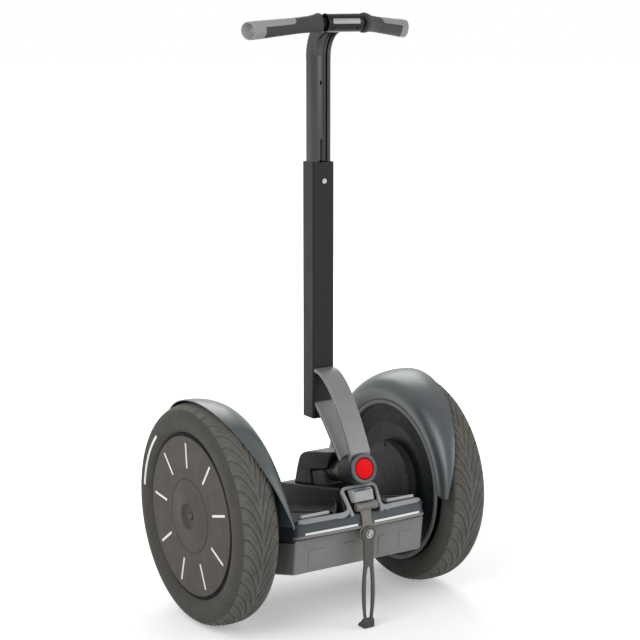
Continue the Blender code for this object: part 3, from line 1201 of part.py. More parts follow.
def build():
    clear_scene()
    rubber = finish("tyre_rubber", (0.030, 0.029, 0.028), 0.75)
    grip_rubber = finish("grip_rubber", (0.045, 0.045, 0.045), 0.7)
    mat_rubber = finish("mat_rubber", (0.020, 0.020, 0.021), 0.8)
    bush_rubber = finish("bush_rubber", (0.015, 0.015, 0.015), 0.85)
    rim_plastic = finish("rim_plastic", (0.02, 0.02, 0.02), 0.5)
    cover_plastic = finish("cover_plastic", (0.075, 0.068, 0.062), 0.55)
    fender_plastic = finish("fender_plastic", (0.035, 0.042, 0.043), 0.35)
    guard_plastic = finish("guard_plastic", (0.020, 0.022, 0.022), 0.5)
    console_plastic = finish("console_plastic", (0.035, 0.035, 0.034), 0.5)
    bumper_plastic = finish("bumper_plastic", (0.050, 0.060, 0.070), 0.5)
    trim_plastic = finish("trim_plastic", (0.25, 0.26, 0.27), 0.4)
    panel_plastic = finish("panel_plastic", (0.55, 0.56, 0.55), 0.35)
    battery_plastic = finish("battery_plastic", (0.17, 0.17, 0.17), 0.5)
    cast_metal = finish("cast_metal", (0.08, 0.08, 0.08), 0.45, 0.4)
    arm_metal = finish("arm_metal", (0.20, 0.20, 0.20), 0.4, 0.5)
    mast_metal = finish("mast_metal", (0.025, 0.027, 0.027), 0.35, 0.4)
    clamp_plastic = finish("clamp_plastic", (0.01, 0.01, 0.01), 0.15)
    stand_metal = finish("stand_metal", (0.14, 0.135, 0.13), 0.5, 0.6)
    steel = finish("steel", (0.55, 0.55, 0.55), 0.3, 1.0)
    motor_metal = finish("motor_metal", (0.4, 0.4, 0.41), 0.4, 0.9)
    board_green = finish("board_green", (0.02, 0.12, 0.05), 0.5)
    enamel = finish("red_enamel", (0.70, 0.01, 0.02), 0.25)

    root = empty("transporter", None, (0, ORIGIN_SHIFT_Y, 0))
    base = empty("base", root, (0, 0, TYRE_RADIUS), (-PARK_PITCH, 0, 0))
    for side in (1, -1):
        name = side_name(side)
        wheel = empty(f"{name}_wheel", base)
        make_tyre(side, wheel, rubber)
        make_rim(side, wheel, rim_plastic)
        make_hub_cover(side, wheel, cover_plastic)
        make_axle_shaft(side, wheel, steel)
        make_hub_nut(side, wheel, steel)
        make_output_gear(side, wheel, steel)
        make_lay_gear(side, base, steel)
        make_rotor(side, base, steel)
        make_motor_case(side, base, motor_metal)
        make_gearbox_case(side, base, cast_metal)
        make_gearbox_lid(side, base, cast_metal)
        make_bearing(side, base, steel)
        make_fender(side, base, fender_plastic)
        make_guard(side, base, guard_plastic)
        make_mat(side, base, mat_rubber)
        make_mat_frame(side, base, trim_plastic)
        make_control_board(side, base, board_green)
    make_chassis(base, cast_metal)
    for front in (True, False):
        make_battery(front, base, battery_plastic)
        make_bumper(front, base, bumper_plastic)
    make_console(base, console_plastic)
    make_bezel(base, trim_plastic)
    make_charge_panel(base, panel_plastic)
    make_charge_flap(base, panel_plastic)
    make_pivot_post(base, cast_metal)
    make_pivot_bush(base, bush_rubber)
    make_hump(base, console_plastic)
    make_balance_sensor(base, motor_metal)

    lean = empty("lean_axis", base, (0, 0, PIVOT_HEIGHT))
    mast = empty("mast", lean, (0, 0, -PIVOT_HEIGHT), (MAST_RAKE, 0, 0))
    make_lean_arm(lean, mast, arm_metal)
    make_medallion(lean, enamel)
    make_sleeve(mast, mast_metal)
    make_lock_screw(mast, steel)
    rise = empty("inner_mast_slide", mast)
    make_inner_mast(rise, mast_metal)
    make_clamp(rise, clamp_plastic)
    make_handlebar(rise, mast_metal)
    for side in (1, -1):
        make_grip(side, rise, grip_rubber)

    upright = empty("stand_axis", root, (0, BOLT_Y, BOLT_HEIGHT))
    make_stand_bracket(base, upright, stand_metal)
    make_stand_bolt(upright, steel)
    make_stand_leg(upright, BOLT_HEIGHT, stand_metal)
    make_stand_foot(upright, BOLT_HEIGHT, bush_rubber)


build()
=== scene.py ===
# %% [markdown]
# A two-wheeled self-balancing personal transporter, parked nose up on its front stand.
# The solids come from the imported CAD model, which is loaded first and never moved. This
# lesson dresses them: it makes smooth, detailed pieces over the plain solids, gives each its
# finish, and sets up the studio round it. Metres, +X to the rider's left, -Y the way it drives.

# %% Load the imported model
import math

import bmesh
import bpy
import numpy as np
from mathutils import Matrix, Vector


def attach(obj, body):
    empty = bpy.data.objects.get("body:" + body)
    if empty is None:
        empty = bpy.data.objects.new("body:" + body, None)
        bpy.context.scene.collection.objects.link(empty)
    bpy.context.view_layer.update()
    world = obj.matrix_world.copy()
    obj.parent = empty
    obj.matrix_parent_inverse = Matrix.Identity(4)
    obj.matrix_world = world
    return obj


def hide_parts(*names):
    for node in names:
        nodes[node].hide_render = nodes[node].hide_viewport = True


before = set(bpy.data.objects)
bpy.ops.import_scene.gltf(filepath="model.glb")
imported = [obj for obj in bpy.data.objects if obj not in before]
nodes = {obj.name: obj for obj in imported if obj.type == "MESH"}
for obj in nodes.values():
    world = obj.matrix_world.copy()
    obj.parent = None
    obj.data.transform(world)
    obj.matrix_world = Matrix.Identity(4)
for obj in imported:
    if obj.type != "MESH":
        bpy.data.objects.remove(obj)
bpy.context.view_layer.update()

# %% [markdown]
# The real machine is a base that is pitched about the axle, a mast that stands upright, and a
# stand under the nose. Each has its own simplest frame, so every shape below is worked out in
# the frame of what carries it and then carried into the row frame with one of these functions.
# Pieces that come in pairs share one function, which is called for the left and the right.

# %% Frames of the machine
AXLE_HEIGHT = 0.2428
SHIFT_Y = -0.0004
PARK_PITCH = math.radians(15)
BOLT_Y, BOLT_HEIGHT = -0.2285, 0.2126


def from_base(points):
    """Base frame to row frame: turned nose up by the park pitch, then lifted to the axle."""
    x, y, z = np.moveaxis(np.asarray(points, float), -1, 0)
    c, s = math.cos(PARK_PITCH), math.sin(PARK_PITCH)
    return np.stack([x, y * c + z * s + SHIFT_Y, -y * s + z * c + AXLE_HEIGHT], -1)


def from_mast(points):
    """Mast frame to row frame: the mast stands upright, so only the origin moves to the axle."""
    return np.asarray(points, float) + (0, SHIFT_Y, AXLE_HEIGHT)


def from_stand(points):
    """Stand frame to row frame: the origin moves to the stand's bolt."""
    return np.asarray(points, float) + (0, BOLT_Y + SHIFT_Y, BOLT_HEIGHT)


def side_name(side):
    return "left" if side > 0 else "right"


def body_of_wheel(side):
    return f"{side_name(side)}_wheel"


def both_sides(**makers):
    """Calls each maker for the left (+1) and then the right (-1), with its piece's whole name."""
    for side in (1, -1):
        for label, make in makers.items():
            make(side, f"{side_name(side)}_{label}")


print("axle at", from_base((0.0, 0.0, 0.0)).round(4), "bolt at", from_stand((0.0, 0.0, 0.0)).round(4))

# %% [markdown]
# Almost every part here is moulded, turned or extruded, so almost every surface is a grid of
# points: a profile carried round an axis, along a path or up a height. One function joins such
# a grid into faces. It measures the signed volume of the closed skin, and turns the faces over
# if it is negative, so that they always point outwards.

# %% Grids of points into closed skins
def skin(points, wrap=(False, False), caps=(False, False)):
    """Rows by columns of points into (points, faces). wrap joins last to first, along rows or
    columns; caps closes the first or last row with one flat face."""
    rows, cols = points.shape[:2]
    index = np.arange(rows * cols).reshape(rows, cols)
    ends = [index[0], index[-1][::-1]]
    index = np.vstack([index, index[:1]]) if wrap[0] else index
    index = np.hstack([index, index[:, :1]]) if wrap[1] else index
    quads = np.stack([index[:-1, :-1], index[:-1, 1:], index[1:, 1:], index[1:, :-1]], -1).reshape(-1, 4)
    flat = points.reshape(-1, 3)
    faces = quads.tolist() + [end[::-1].tolist() for end, wanted in zip(ends, caps) if wanted]
    a, b, c, d = (flat[quads[:, k]] - flat.mean(0) for k in range(4))
    volume = (np.cross(a, b) * c).sum() + (np.cross(a, c) * d).sum()
    for end, wanted in zip(ends, caps):
        if wanted:
            rim = flat[end[::-1]] - flat.mean(0)
            volume += (np.cross(rim[0], rim[1:-1]) * rim[2:]).sum()
    return flat, faces if volume > 0 else [face[::-1] for face in faces]


def loft(rows, frame_of):
    """Closed sections one after another, with a flat face on the first and on the last."""
    return skin(frame_of(np.stack(rows)), (False, True), (True, True))


def put(name, data):
    """A new object in the scene, left at the origin."""
    thing = bpy.data.objects.new(name, data)
    bpy.context.scene.collection.objects.link(thing)
    return thing


def piece(name, skins, material, body, replaces=(), sharp=35):
    """One object from several skins, welded, shaded, dressed and riding on its body."""
    points, faces = [], []
    for part, part_faces in skins:
        start = sum(len(p) for p in points)
        points.append(part)
        faces += [[corner + start for corner in face] for face in part_faces]
    data = bpy.data.meshes.new(name)
    data.from_pydata(np.concatenate(points).tolist(), [], faces)
    welded = bmesh.new()
    welded.from_mesh(data)
    bmesh.ops.remove_doubles(welded, verts=welded.verts, dist=1e-7)
    welded.to_mesh(data)
    welded.free()
    data.shade_smooth()
    data.set_sharp_from_angle(angle=math.radians(sharp))
    data.materials.append(material)
    thing = put(name, data)
    thing.modifiers.new("even shading", "WEIGHTED_NORMAL").keep_sharp = True
    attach(thing, body)
    if replaces:
        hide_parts(*replaces)
    print(f"{name}: {len(data.polygons)} faces, {len(skins)} skin(s)")
    return thing


# %% [markdown]
# Profiles are short lists of corners. Real mouldings have no sharp corner, so one helper
# rounds the corners of a line with small curves, and another runs a smooth curve through
# points that were read off the real form, such as a tyre's section.

# %% Profiles: round corners, smooth curves
def arc(centre, radius, first, last, steps):
    """Points on an arc from one angle to another, in degrees, both ends included."""
    angle = np.radians(np.linspace(first, last, steps + 1))
    return np.stack([centre[0] + radius * np.cos(angle), centre[1] + radius * np.sin(angle)], -1)


def soften(corners, radius, steps=4):
    """Each corner gives way to a quadratic curve that starts and ends 'radius' along its edges."""
    corners = np.asarray(corners, float)
    radii = np.broadcast_to(radius, len(corners))
    ends = []
    for towards in (np.roll(corners, 1, 0), np.roll(corners, -1, 0)):
        length = np.linalg.norm(towards - corners, axis=1)
        reach = np.minimum(radii, 0.45 * length)
        ends.append((corners + (towards - corners) * (reach / np.maximum(length, 1e-9))[:, None])[:, None])
    t = np.linspace(0, 1, steps + 1)[None, :, None]
    rounded = (1 - t) ** 2 * ends[0] + 2 * t * (1 - t) * corners[:, None] + t ** 2 * ends[1]
    return rounded.reshape(-1, corners.shape[1])


def through(knots, count):
    """A Catmull-Rom curve through the knots, sampled evenly by the knots' own spacing."""
    knots = np.asarray(knots, float)
    padded = np.concatenate([[2 * knots[0] - knots[1]], knots, [2 * knots[-1] - knots[-2]]])
    gaps = np.linalg.norm(np.diff(knots, axis=0), axis=1)
    length = np.concatenate([[0], np.cumsum(gaps)])
    where = np.linspace(0, length[-1], count)
    k = np.clip(np.searchsorted(length, where, "right") - 1, 0, len(gaps) - 1)
    t = ((where - length[k]) / gaps[k])[:, None]
    a, b, c, d = padded[k], padded[k + 1], padded[k + 2], padded[k + 3]
    return 0.5 * (2 * b + (c - a) * t + (2 * a - 5 * b + 4 * c - d) * t ** 2 + (3 * b - a - 3 * c + d) * t ** 3)


def bezier(p0, p1, p2, p3, count):
    """A cubic curve from p0 to p3, pulled towards p1 and p2."""
    t = np.linspace(0, 1, count)[:, None]
    p0, p1, p2, p3 = (np.asarray(p, float) for p in (p0, p1, p2, p3))
    return (1 - t) ** 3 * p0 + 3 * (1 - t) ** 2 * t * p1 + 3 * (1 - t) * t ** 2 * p2 + t ** 3 * p3


def smoothstep(x):
    """0 below 0, 1 above 1, and a soft S between."""
    x = np.clip(x, 0, 1)
    return x * x * (3 - 2 * x)


def between(value, low, high, soft):
    """1 between two limits and 0 outside them, with soft ends just inside the limits."""
    return smoothstep((high - value) / soft) * smoothstep((value - low) / soft)


def unit(vectors):
    """Vectors along the last axis, each brought to length one."""
    vectors = np.asarray(vectors, float)
    return vectors / np.linalg.norm(vectors, axis=-1, keepdims=True)


def rounded_box(half_x, half_y, corner, steps=5):
    """A rectangle's outline with round corners, about the origin."""
    places = ((1, 1, 0), (-1, 1, 90), (-1, -1, 180), (1, -1, 270))
    return np.concatenate([arc((sx * (half_x - corner), sy * (half_y - corner)), corner, a, a + 90, steps)
                           for sx, sy, a in places])


def draw_in(outline, distance):
    """A closed outline offset inwards: each point moves along the mean of its edges' normals."""
    ahead = np.roll(outline, -1, 0) - outline
    edge = np.stack([ahead[:, 1], -ahead[:, 0]], -1)
    edge /= np.maximum(np.linalg.norm(edge, axis=1), 1e-12)[:, None]
    area = (outline[:, 0] * np.roll(outline[:, 1], -1) - np.roll(outline[:, 0], -1) * outline[:, 1]).sum()
    normal = edge + np.roll(edge, 1, 0)
    normal /= np.maximum((normal ** 2).sum(1) / 2, 0.5)[:, None]
    return outline - np.sign(area) * distance * normal


# %% [markdown]
# Three ways of carrying a profile cover nearly the whole machine. Turned parts carry it round
# an axis, moulded blocks carry an outline up a height with its edges rounded over, and bars
# and straps carry a section along a path.

# %% Turned, moulded and swept skins
AROUND = 128


def turned(profile, steps=AROUND):
    """A (radius, height) profile round the z axis: x = r cos a, y = r sin a. A profile that
    starts and ends on the axis closes at its poles, and any other one closes on itself."""
    profile = np.asarray(profile, float)
    angle = np.arange(steps) * 2 * math.pi / steps
    radius, height = profile[:, 0], profile[:, 1]
    points = np.stack([radius[:, None] * np.cos(angle), radius[:, None] * np.sin(angle),
                       np.repeat(height[:, None], steps, 1)], -1)
    on_axis = radius[0] < 1e-7 and radius[-1] < 1e-7
    return points, (not on_axis, True)


def on_axle(profile, side, steps=AROUND, middle=0.0):
    """A turned skin whose axis is the axle: height runs outwards from 'middle' along X."""
    points, wrap = turned(profile, steps)
    turned_out = np.stack([side * (middle + points[..., 2]), points[..., 0], points[..., 1]], -1)
    return skin(from_base(turned_out), wrap)


def rounding(edge, count=5):
    """(inset, rise) from a flat face's rim to the full outline, along a quarter circle."""
    return [(edge * (1 - math.sin(t)), edge * (1 - math.cos(t))) for t in np.linspace(0, math.pi / 2, count)]


def slab(outline, low, high, edge, place, steps=4):
    """An outline carried from low to high, with both its edges rounded over. 'place' takes
    (outline points, height) to the row frame."""
    ends = rounding(edge, steps + 1)
    rows = [(inset, low + rise) for inset, rise in ends] + [(inset, high - rise) for inset, rise in ends[::-1]]
    points = np.stack([place(draw_in(outline, inset), height) for inset, height in rows])
    return skin(points, (False, True), (True, True))


def flat_on(axis, frame_of):
    """How a slab lies: its outline is (Y, Z) along X, (X, Z) along Y or (X, Y) along Z."""
    order = {"X": (1, 2, 0), "Y": (0, 2, 1), "Z": (0, 1, 2)}[axis]

    def place(outline, height):
        points = np.empty((len(outline), 3))
        points[:, order[0]], points[:, order[1]], points[:, order[2]] = outline[:, 0], outline[:, 1], height
        return frame_of(points)
    return place


def swept(section, path, up, frame_of, scale=1.0):
    """A closed (across, up) section carried along a path. Across is square to the path and to
    'up'; 'scale' widens or narrows the section along the way."""
    path, up = np.asarray(path, float), np.asarray(up, float)
    along = unit(np.gradient(path, axis=0))
    across = unit(np.cross(along, up))
    lift = np.cross(across, along)
    section = np.asarray(section, float)[None] * np.broadcast_to(scale, len(path))[:, None, None]
    points = path[:, None] + across[:, None] * section[..., :1] + lift[:, None] * section[..., 1:]
    return loft(points, frame_of)


print("a turned part takes", AROUND, "steps round, and a rounded edge takes", len(rounding(0.002)), "rows")

# %% [markdown]
# Every finish is built from the same few layers that a real surface has: a colour that wanders
# a little, a roughness that wanders with it, and a fine grain that catches the light. One
# function wires them, and each finish only says its numbers. Colours are written as they look
# on a screen, and turned into the linear values that a shader wants.

# %% Finishes
def linear(colour):
    """Screen values from 0 to 255 into the shader's linear values."""
    share = np.asarray(colour, float) / 255
    return tuple(np.where(share <= 0.04045, share / 12.92, ((share + 0.055) / 1.055) ** 2.4))


def feed(socket, value):
    """Joins an input to another node's output, or sets its value."""
    if isinstance(value, bpy.types.NodeSocket):
        socket.id_data.links.new(value, socket)
    else:
        socket.default_value = value


def add_node(tree, kind, inputs, **settings):
    """A new shader node with its settings and its inputs, each a value or another node's output."""
    made = tree.nodes.new(f"ShaderNode{kind}")
    for name, value in settings.items():
        setattr(made, name, value)
    for name, value in inputs.items():
        feed(made.inputs[name], value)
    return made


def new_material(name):
    """A material with nodes, its node tree and its shader."""
    made = bpy.data.materials.new(name)
    made.use_nodes = True
    return made, made.node_tree, made.node_tree.nodes["Principled BSDF"]


def finish(name, colour, rough, metal=0.0, mottle=0.10, mottle_scale=22.0, grain=0.05, grain_scale=1400.0,
           rough_swing=0.07, specular=0.5, stretch=(1, 1, 1), tint=(1.0, 1.0, 1.0)):
    """A Principled finish: mottled colour, wandering roughness and a fine bump, all from noise
    on Object coordinates. 'stretch' squeezes the noise along an axis, as brushing does."""
    made, tree, shader = new_material(name)
    place = add_node(tree, "TexCoord", {}).outputs["Object"]
    squeezed = add_node(tree, "Mapping", {"Vector": place, "Scale": stretch}).outputs["Vector"]

    def noise(scale, detail, roughness=0.6):
        return add_node(tree, "TexNoise", {"Vector": squeezed, "Scale": scale, "Detail": detail,
                                           "Roughness": roughness}).outputs["Fac"]

    blotches = add_node(tree, "ValToRGB", {"Fac": noise(mottle_scale, 4)})
    dark, light = blotches.color_ramp.elements
    dark.position, light.position = 0.30, 0.72
    base = np.array(linear(colour))
    dark.color = (*(base * (1 - mottle)), 1)
    light.color = (*np.minimum(base * (1 + mottle) * np.array(tint), 1), 1)
    swing = add_node(tree, "MapRange", {
        "Value": noise(mottle_scale * 3.1, 3), "From Min": 0.3, "From Max": 0.7,
        "To Min": max(rough - rough_swing, 0.03), "To Max": min(rough + rough_swing, 1)})
    for socket, value in (("Metallic", metal), ("Specular IOR Level", specular),
                          ("Base Color", blotches.outputs["Color"]), ("Roughness", swing.outputs["Result"])):
        feed(shader.inputs[socket], value)
    if grain:
        bump = add_node(tree, "Bump", {"Strength": grain, "Distance": 0.001, "Height": noise(grain_scale, 2, 0.5)})
        feed(shader.inputs["Normal"], bump.outputs["Normal"])
    return made


tyre_rubber = finish("tyre_rubber", (71, 70, 67), 0.72, mottle=0.13, mottle_scale=34, grain=0.10, specular=0.25,
                     tint=(1.03, 1.0, 0.97))
tread_rubber = finish("tread_rubber", (97, 96, 91), 0.72, mottle=0.16, mottle_scale=40, grain=0.12, specular=0.2,
                      tint=(1.03, 1.0, 0.97))
rim_plastic = finish("rim_plastic", (16, 16, 17), 0.6, specular=0.1)
cover_plastic = finish("cover_plastic", (70, 66, 63), 0.55, mottle=0.05, mottle_scale=9, grain=0.05, specular=0.25)
reflector_white = finish("reflector_white", (240, 240, 238), 0.35, mottle=0.02, grain=0.03)
fender_plastic = finish("fender_plastic", (54, 63, 65), 0.33, mottle=0.05, mottle_scale=7, grain=0.0,
                        rough_swing=0.0, specular=0.8)
guard_plastic = finish("guard_plastic", (13, 19, 21), 0.42, mottle=0.08, specular=0.2)
trim_grey = finish("trim_grey", (104, 104, 102), 0.45, mottle=0.06, specular=0.4)
# Painted shade: a black for the gap round the red disc, where only shade would show.
painted_shade_black = finish("painted_shade_black", (14, 14, 15), 0.7, specular=0.15)
cast_metal = finish("cast_metal", (60, 60, 60), 0.5, metal=0.2, mottle=0.10, grain=0.12, grain_scale=900)
lid_plastic = finish("lid_plastic", (44, 43, 42), 0.5, mottle=0.05, mottle_scale=14, grain=0.05, specular=0.25)
boss_metal = finish("boss_metal", (70, 71, 73), 0.25, metal=0.8, mottle=0.04)
steel = finish("steel", (166, 165, 162), 0.28, metal=1.0, mottle=0.05, stretch=(1, 1, 6))
motor_metal = finish("motor_metal", (150, 150, 152), 0.38, metal=0.9, mottle=0.06, stretch=(8, 1, 1))
print("finishes:", len(bpy.data.materials))

# %% [markdown]
# The wheel's tyre is a road scooter tyre. Its section is one smooth curve from bead to bead.
# The tread is a finer grid on that same curve: curved grooves start square to the shoulder and
# sweep round towards the middle, down at the front, one set from each side. A groove's depth
# is a soft trough of the distance to its centre line, so the cut is real geometry.

# %% The tyres
WHEEL_X = 0.268
BEAD_RADIUS = 0.1763
TREAD_PITCHES = 44
TREAD_EDGE = 0.0405       # how far out the grooves start, across the tyre
TREAD_FOOT = 0.215        # the tread lies outside this radius
TREAD_WALL = 0.0042       # the tread's own thickness
GROOVE_DEPTH, GROOVE_HALF = 0.0030, 0.0018
GROOVE_SWEEP = 2.3        # pitches that a groove runs round on its way to the middle
SIPE_IN, SIPE_OUT = 0.013, 0.033                 # where the short cuts end, across the tyre
WALL_RINGS = ((0.1905, 0.0011, 1.0), (0.1935, 0.0012, -0.8), (0.2175, 0.0016, 0.8))
WALL_RING_HEIGHT = 0.0007                        # each ring above: radius, width, share of this


def tyre_profile(count):
    """(across, radius) from bead to bead over the crown, as a curve through the real section."""
    knots = np.array([(0.0347, BEAD_RADIUS), (0.0352, 0.1800), (0.0400, 0.1835), (0.0445, 0.1890), (0.0478, 0.1990),
                      (0.0488, 0.2090), (0.0474, 0.2200), (0.0432, 0.2290), (0.0378, 0.2343), (0.0300, 0.2386),
                      (0.0205, 0.2414), (0.0100, 0.2425), (0, 0.2428)])
    return through(np.concatenate([knots, knots[-2::-1] * (-1, 1)]), count)


def groove_depth(across, angle, radius):
    """Depth of the tread cut at a point. 'angle' is in tread pitches round the wheel."""
    pitch = 2 * math.pi * radius / TREAD_PITCHES
    out = np.abs(across)
    inward = 1 - np.clip(out / TREAD_EDGE, 0, 1)
    slope = 2 * GROOVE_SWEEP * inward / TREAD_EDGE * pitch
    phase = angle - GROOVE_SWEEP * inward ** 2 + np.where(across > 0, 0.0, 0.5)

    def off_line(shift):
        """Distance to the nearest of the curves along which phase plus shift is a whole number."""
        return np.abs(phase + shift - np.round(phase + shift)) * pitch / np.sqrt(1 + slope ** 2)
    main = smoothstep((GROOVE_HALF + 0.0006 - off_line(0)) / 0.0011)
    main = main * between(out, 0.0015, TREAD_EDGE + 0.001, 0.003)
    sipe = 0.6 * smoothstep((GROOVE_HALF - off_line(0.5)) / 0.0010) * between(out, SIPE_IN, SIPE_OUT, 0.004)
    return GROOVE_DEPTH * np.maximum(main, sipe)


def around(side, x, r, steps):
    """Rows of (across, radius), given at each step or once for all, carried round a wheel."""
    angle = np.arange(steps) * 2 * math.pi / steps
    x, r = (np.broadcast_to(v, (len(v), steps)) for v in (x, r))
    return skin(from_base(np.stack([side * WHEEL_X + x, r * np.cos(angle), r * np.sin(angle)], -1)), (True, True))


def outward_of(line):
    """The unit normals of a (across, radius) line, away from the tyre's middle."""
    run = np.gradient(line, axis=0)
    normal = unit(np.stack([run[:, 1], -run[:, 0]], -1))
    return normal * np.sign((normal * (line - (0, 0.2))).sum(1))[:, None]


def make_carcass(side, name):
    """The skin runs bead to bead over the crown, where it hides under the tread, and back along
    a plain inner lining. Fine moulded rings stand on the sidewalls."""
    line = tyre_profile(181)
    out, radius = np.abs(line[:, 0]), line[:, 1]
    rings = sum(share * np.exp(-((radius - ring) / width) ** 2) for ring, width, share in WALL_RINGS)
    ridge = WALL_RING_HEIGHT * rings * (out > 0.03)
    under = 0.0038 * smoothstep((TREAD_EDGE + 0.0005 - out) / 0.003) * (radius > TREAD_FOOT)
    outer = line + outward_of(line) * (ridge - under)[:, None]
    lining = np.array([(0.0255, BEAD_RADIUS), (0.0350, 0.1850), (0.0385, 0.2068), (0.0300, 0.2260), (0.0150, 0.2345)])
    whole = np.concatenate([outer, lining * (-1, 1), [(0.0, 0.2360)], lining[::-1]])
    return piece(name, [around(side, whole[:, :1], whole[:, 1:], 256)], tyre_rubber, body_of_wheel(side),
                 [f"{side_name(side)}_tyre"], sharp=60)


def make_tread(side, name):
    """The crown of the same curve, in a fine grid, with the pattern cut into it."""
    rows, steps = 64, TREAD_PITCHES * 29
    line = tyre_profile(721)
    line = line[(np.abs(line[:, 0]) < TREAD_EDGE + 0.0011) & (line[:, 1] > TREAD_FOOT)]
    line = line[np.linspace(0, len(line) - 1, rows).round().astype(int)]
    angle = np.arange(steps) * TREAD_PITCHES / steps
    cut = groove_depth(line[:, :1], angle[None], line[:, 1:])
    cut = cut + 0.0004 * smoothstep((np.abs(line[:, :1]) - TREAD_EDGE + 0.0003) / 0.0014)
    normal = outward_of(line)
    under = (line - normal * TREAD_WALL)[::-1][[0, 16, 32, 48, rows - 1]]
    x, r = (np.concatenate([line[:, k:k + 1] - normal[:, k:k + 1] * cut, np.repeat(under[:, k:k + 1], steps, 1)])
            for k in (0, 1))
    return piece(name, [around(side, x, r, steps)], tread_rubber, body_of_wheel(side), sharp=60)


both_sides(tyre_wall=make_carcass, tyre_tread=make_tread)

# %% [markdown]
# The rim is a moulded disc that hides behind a flat hub cover. The cover is one turned plate:
# a flat field, a fine groove, then a shallow cone round a bowl, in which the axle's domed end
# sits. Nine reflective strips lie on the flat field, a black ring of shadow parts it from the
# tyre, and one longer strip follows the tyre's sidewall.

# %% Rims, hub covers and reflectors
COVER_FACE, COVER_RADIUS = 0.042, 0.1746
DASHES, DASH_TURN = 9, 180                       # the first one's angle, in degrees
DASH_IN, DASH_OUT, DASH_HALF = 0.1050, 0.1605, 0.0027
STRIP_RADIUS, STRIP_HALF = 0.2020, 0.0030
STRIP_FIRST, STRIP_LAST, STRIP_ROUND = 21, 62, 0.6   # degrees round the wheel


def make_rim(side, name):
    corners = [(0.1810, 0.0385), (0.1810, 0.0352), (0.1760, 0.0352), (0.1760, -0.0352), (0.1810, -0.0352),
               (0.1810, -0.0385), (0.1710, -0.0385), (0.1640, -0.0160), (0.1635, 0.0180), (0.0450, 0.0140),
               (0.0380, -0.0040), (0.0153, -0.0040), (0.0153, 0.0300), (0.0380, 0.0300), (0.0500, 0.0220),
               (0.1635, 0.0260), (0.1700, 0.0385)]
    return piece(name, [on_axle(soften(corners, 0.0012, 3), side, middle=WHEEL_X)], rim_plastic,
                 body_of_wheel(side), [f"{side_name(side)}_rim"])


def make_hub_cover(side, name):
    f = COVER_FACE
    line = [(0, f - 0.0029), (0.0180, f - 0.0029), (0.0225, f - 0.0022), (0.0262, f + 0.0008), (0.0290, f + 0.0038),
            (0.0325, f + 0.0047), (0.0450, f + 0.0036), (0.0640, f + 0.0014), (0.0792, f + 0.0002)]
    field = [(0.0800, f - 0.0012), (0.0812, f - 0.0012), (0.0820, f), (0.1250, f), (COVER_RADIUS - 0.0012, f),
             (COVER_RADIUS, f - 0.0012), (COVER_RADIUS, f - 0.0036), (0, f - 0.0036)]
    profile = np.concatenate([through(line, 56), field])
    return piece(name, [on_axle(profile, side, middle=WHEEL_X)], cover_plastic, body_of_wheel(side),
                 [f"{side_name(side)}_hub_cover"])


def make_boss(side, name):
    """The domed end of the axle, low in the bowl."""
    f = COVER_FACE
    dome = arc((0, 0), 1.0, 90, 0, 12) * (0.0092, 0.0052) + (0, f - 0.0030)
    profile = np.concatenate([dome, [(0.0100, f - 0.0030), (0.0100, f - 0.0034), (0, f - 0.0034)]])
    return piece(name, [on_axle(profile, side, 48, WHEEL_X)], boss_metal, body_of_wheel(side))


def make_wall_strip(side, name):
    """A white strip on the outer sidewall, a touch proud of the rubber, with round ends."""
    wall = tyre_profile(107)
    wall = wall[(wall[:, 0] > 0.044) & (wall[:, 1] > 0.195)]
    closing = STRIP_ROUND * (1 - np.cos(np.linspace(0.3, math.pi / 2, 5)))
    turn = np.radians(np.concatenate([STRIP_FIRST + closing, np.linspace(STRIP_FIRST + 1, STRIP_LAST - 1, 40),
                                      STRIP_LAST - closing[::-1]]))
    end = np.minimum(turn - turn[0], turn[-1] - turn) / math.radians(STRIP_ROUND)
    lift = np.array([0.0001, 0.0004, 0.0005, 0.0005, 0.0005, 0.0004, 0.0001])
    rows = []
    for angle, share in zip(turn, np.sqrt(np.clip(1 - (1 - np.minimum(end, 1)) ** 2, 0.12, 1))):
        radius = STRIP_RADIUS + STRIP_HALF * share * np.linspace(-1, 1, len(lift))
        across = np.interp(radius, wall[:, 1], wall[:, 0])
        loop_x = np.concatenate([across + lift, across[::-1] - 0.0008])
        loop_r = np.concatenate([radius, radius[::-1]])
        rows.append(np.stack([side * (WHEEL_X + loop_x), loop_r * math.cos(angle), loop_r * math.sin(angle)], -1))
    return piece(name, [loft(rows, from_base)], reflector_white, body_of_wheel(side))


def make_dashes(side, name):
    """Nine thin strips: one is made along the plane's first axis, then turned about the axle."""
    outline = rounded_box((DASH_OUT - DASH_IN) / 2, DASH_HALF, 0.0006, 2) + ((DASH_IN + DASH_OUT) / 2, 0)
    skins = []
    for k in range(DASHES):
        turn = math.radians(DASH_TURN + 360 / DASHES * k)
        c, s = math.cos(turn), math.sin(turn)

        def place(flat, height, c=c, s=s):
            points = np.stack([np.full(len(flat), side * (WHEEL_X + COVER_FACE + height)),
                               flat[:, 0] * c - flat[:, 1] * s, flat[:, 0] * s + flat[:, 1] * c], -1)
            return from_base(points)
        skins.append(slab(outline, -0.0002, 0.0005, 0.0002, place, 2))
    return piece(name, skins, reflector_white, body_of_wheel(side))


both_sides(rim_shell=make_rim, cover_plate=make_hub_cover, axle_boss=make_boss, reflectors=make_dashes,
           wall_strip=make_wall_strip)

# %% [markdown]
# The fenders, guards and trim rings wrap the wheels. A fender's section is one cubic curve from
# the edge over the tread down to the ring, and the edge reaches furthest out near the top. The
# sheet is the curve's middle line plus and minus half a wall along its normal, its edges closed
# by a small half round, and its two ends thinned to a soft edge.

# %% Fenders
FENDER_FIRST, FENDER_LAST, FENDER_PEAK = math.radians(8), math.radians(191), math.radians(100)
FENDER_HALF_WALL = 0.00125
RING_IN, RING_OUT = 0.1768, 0.1862


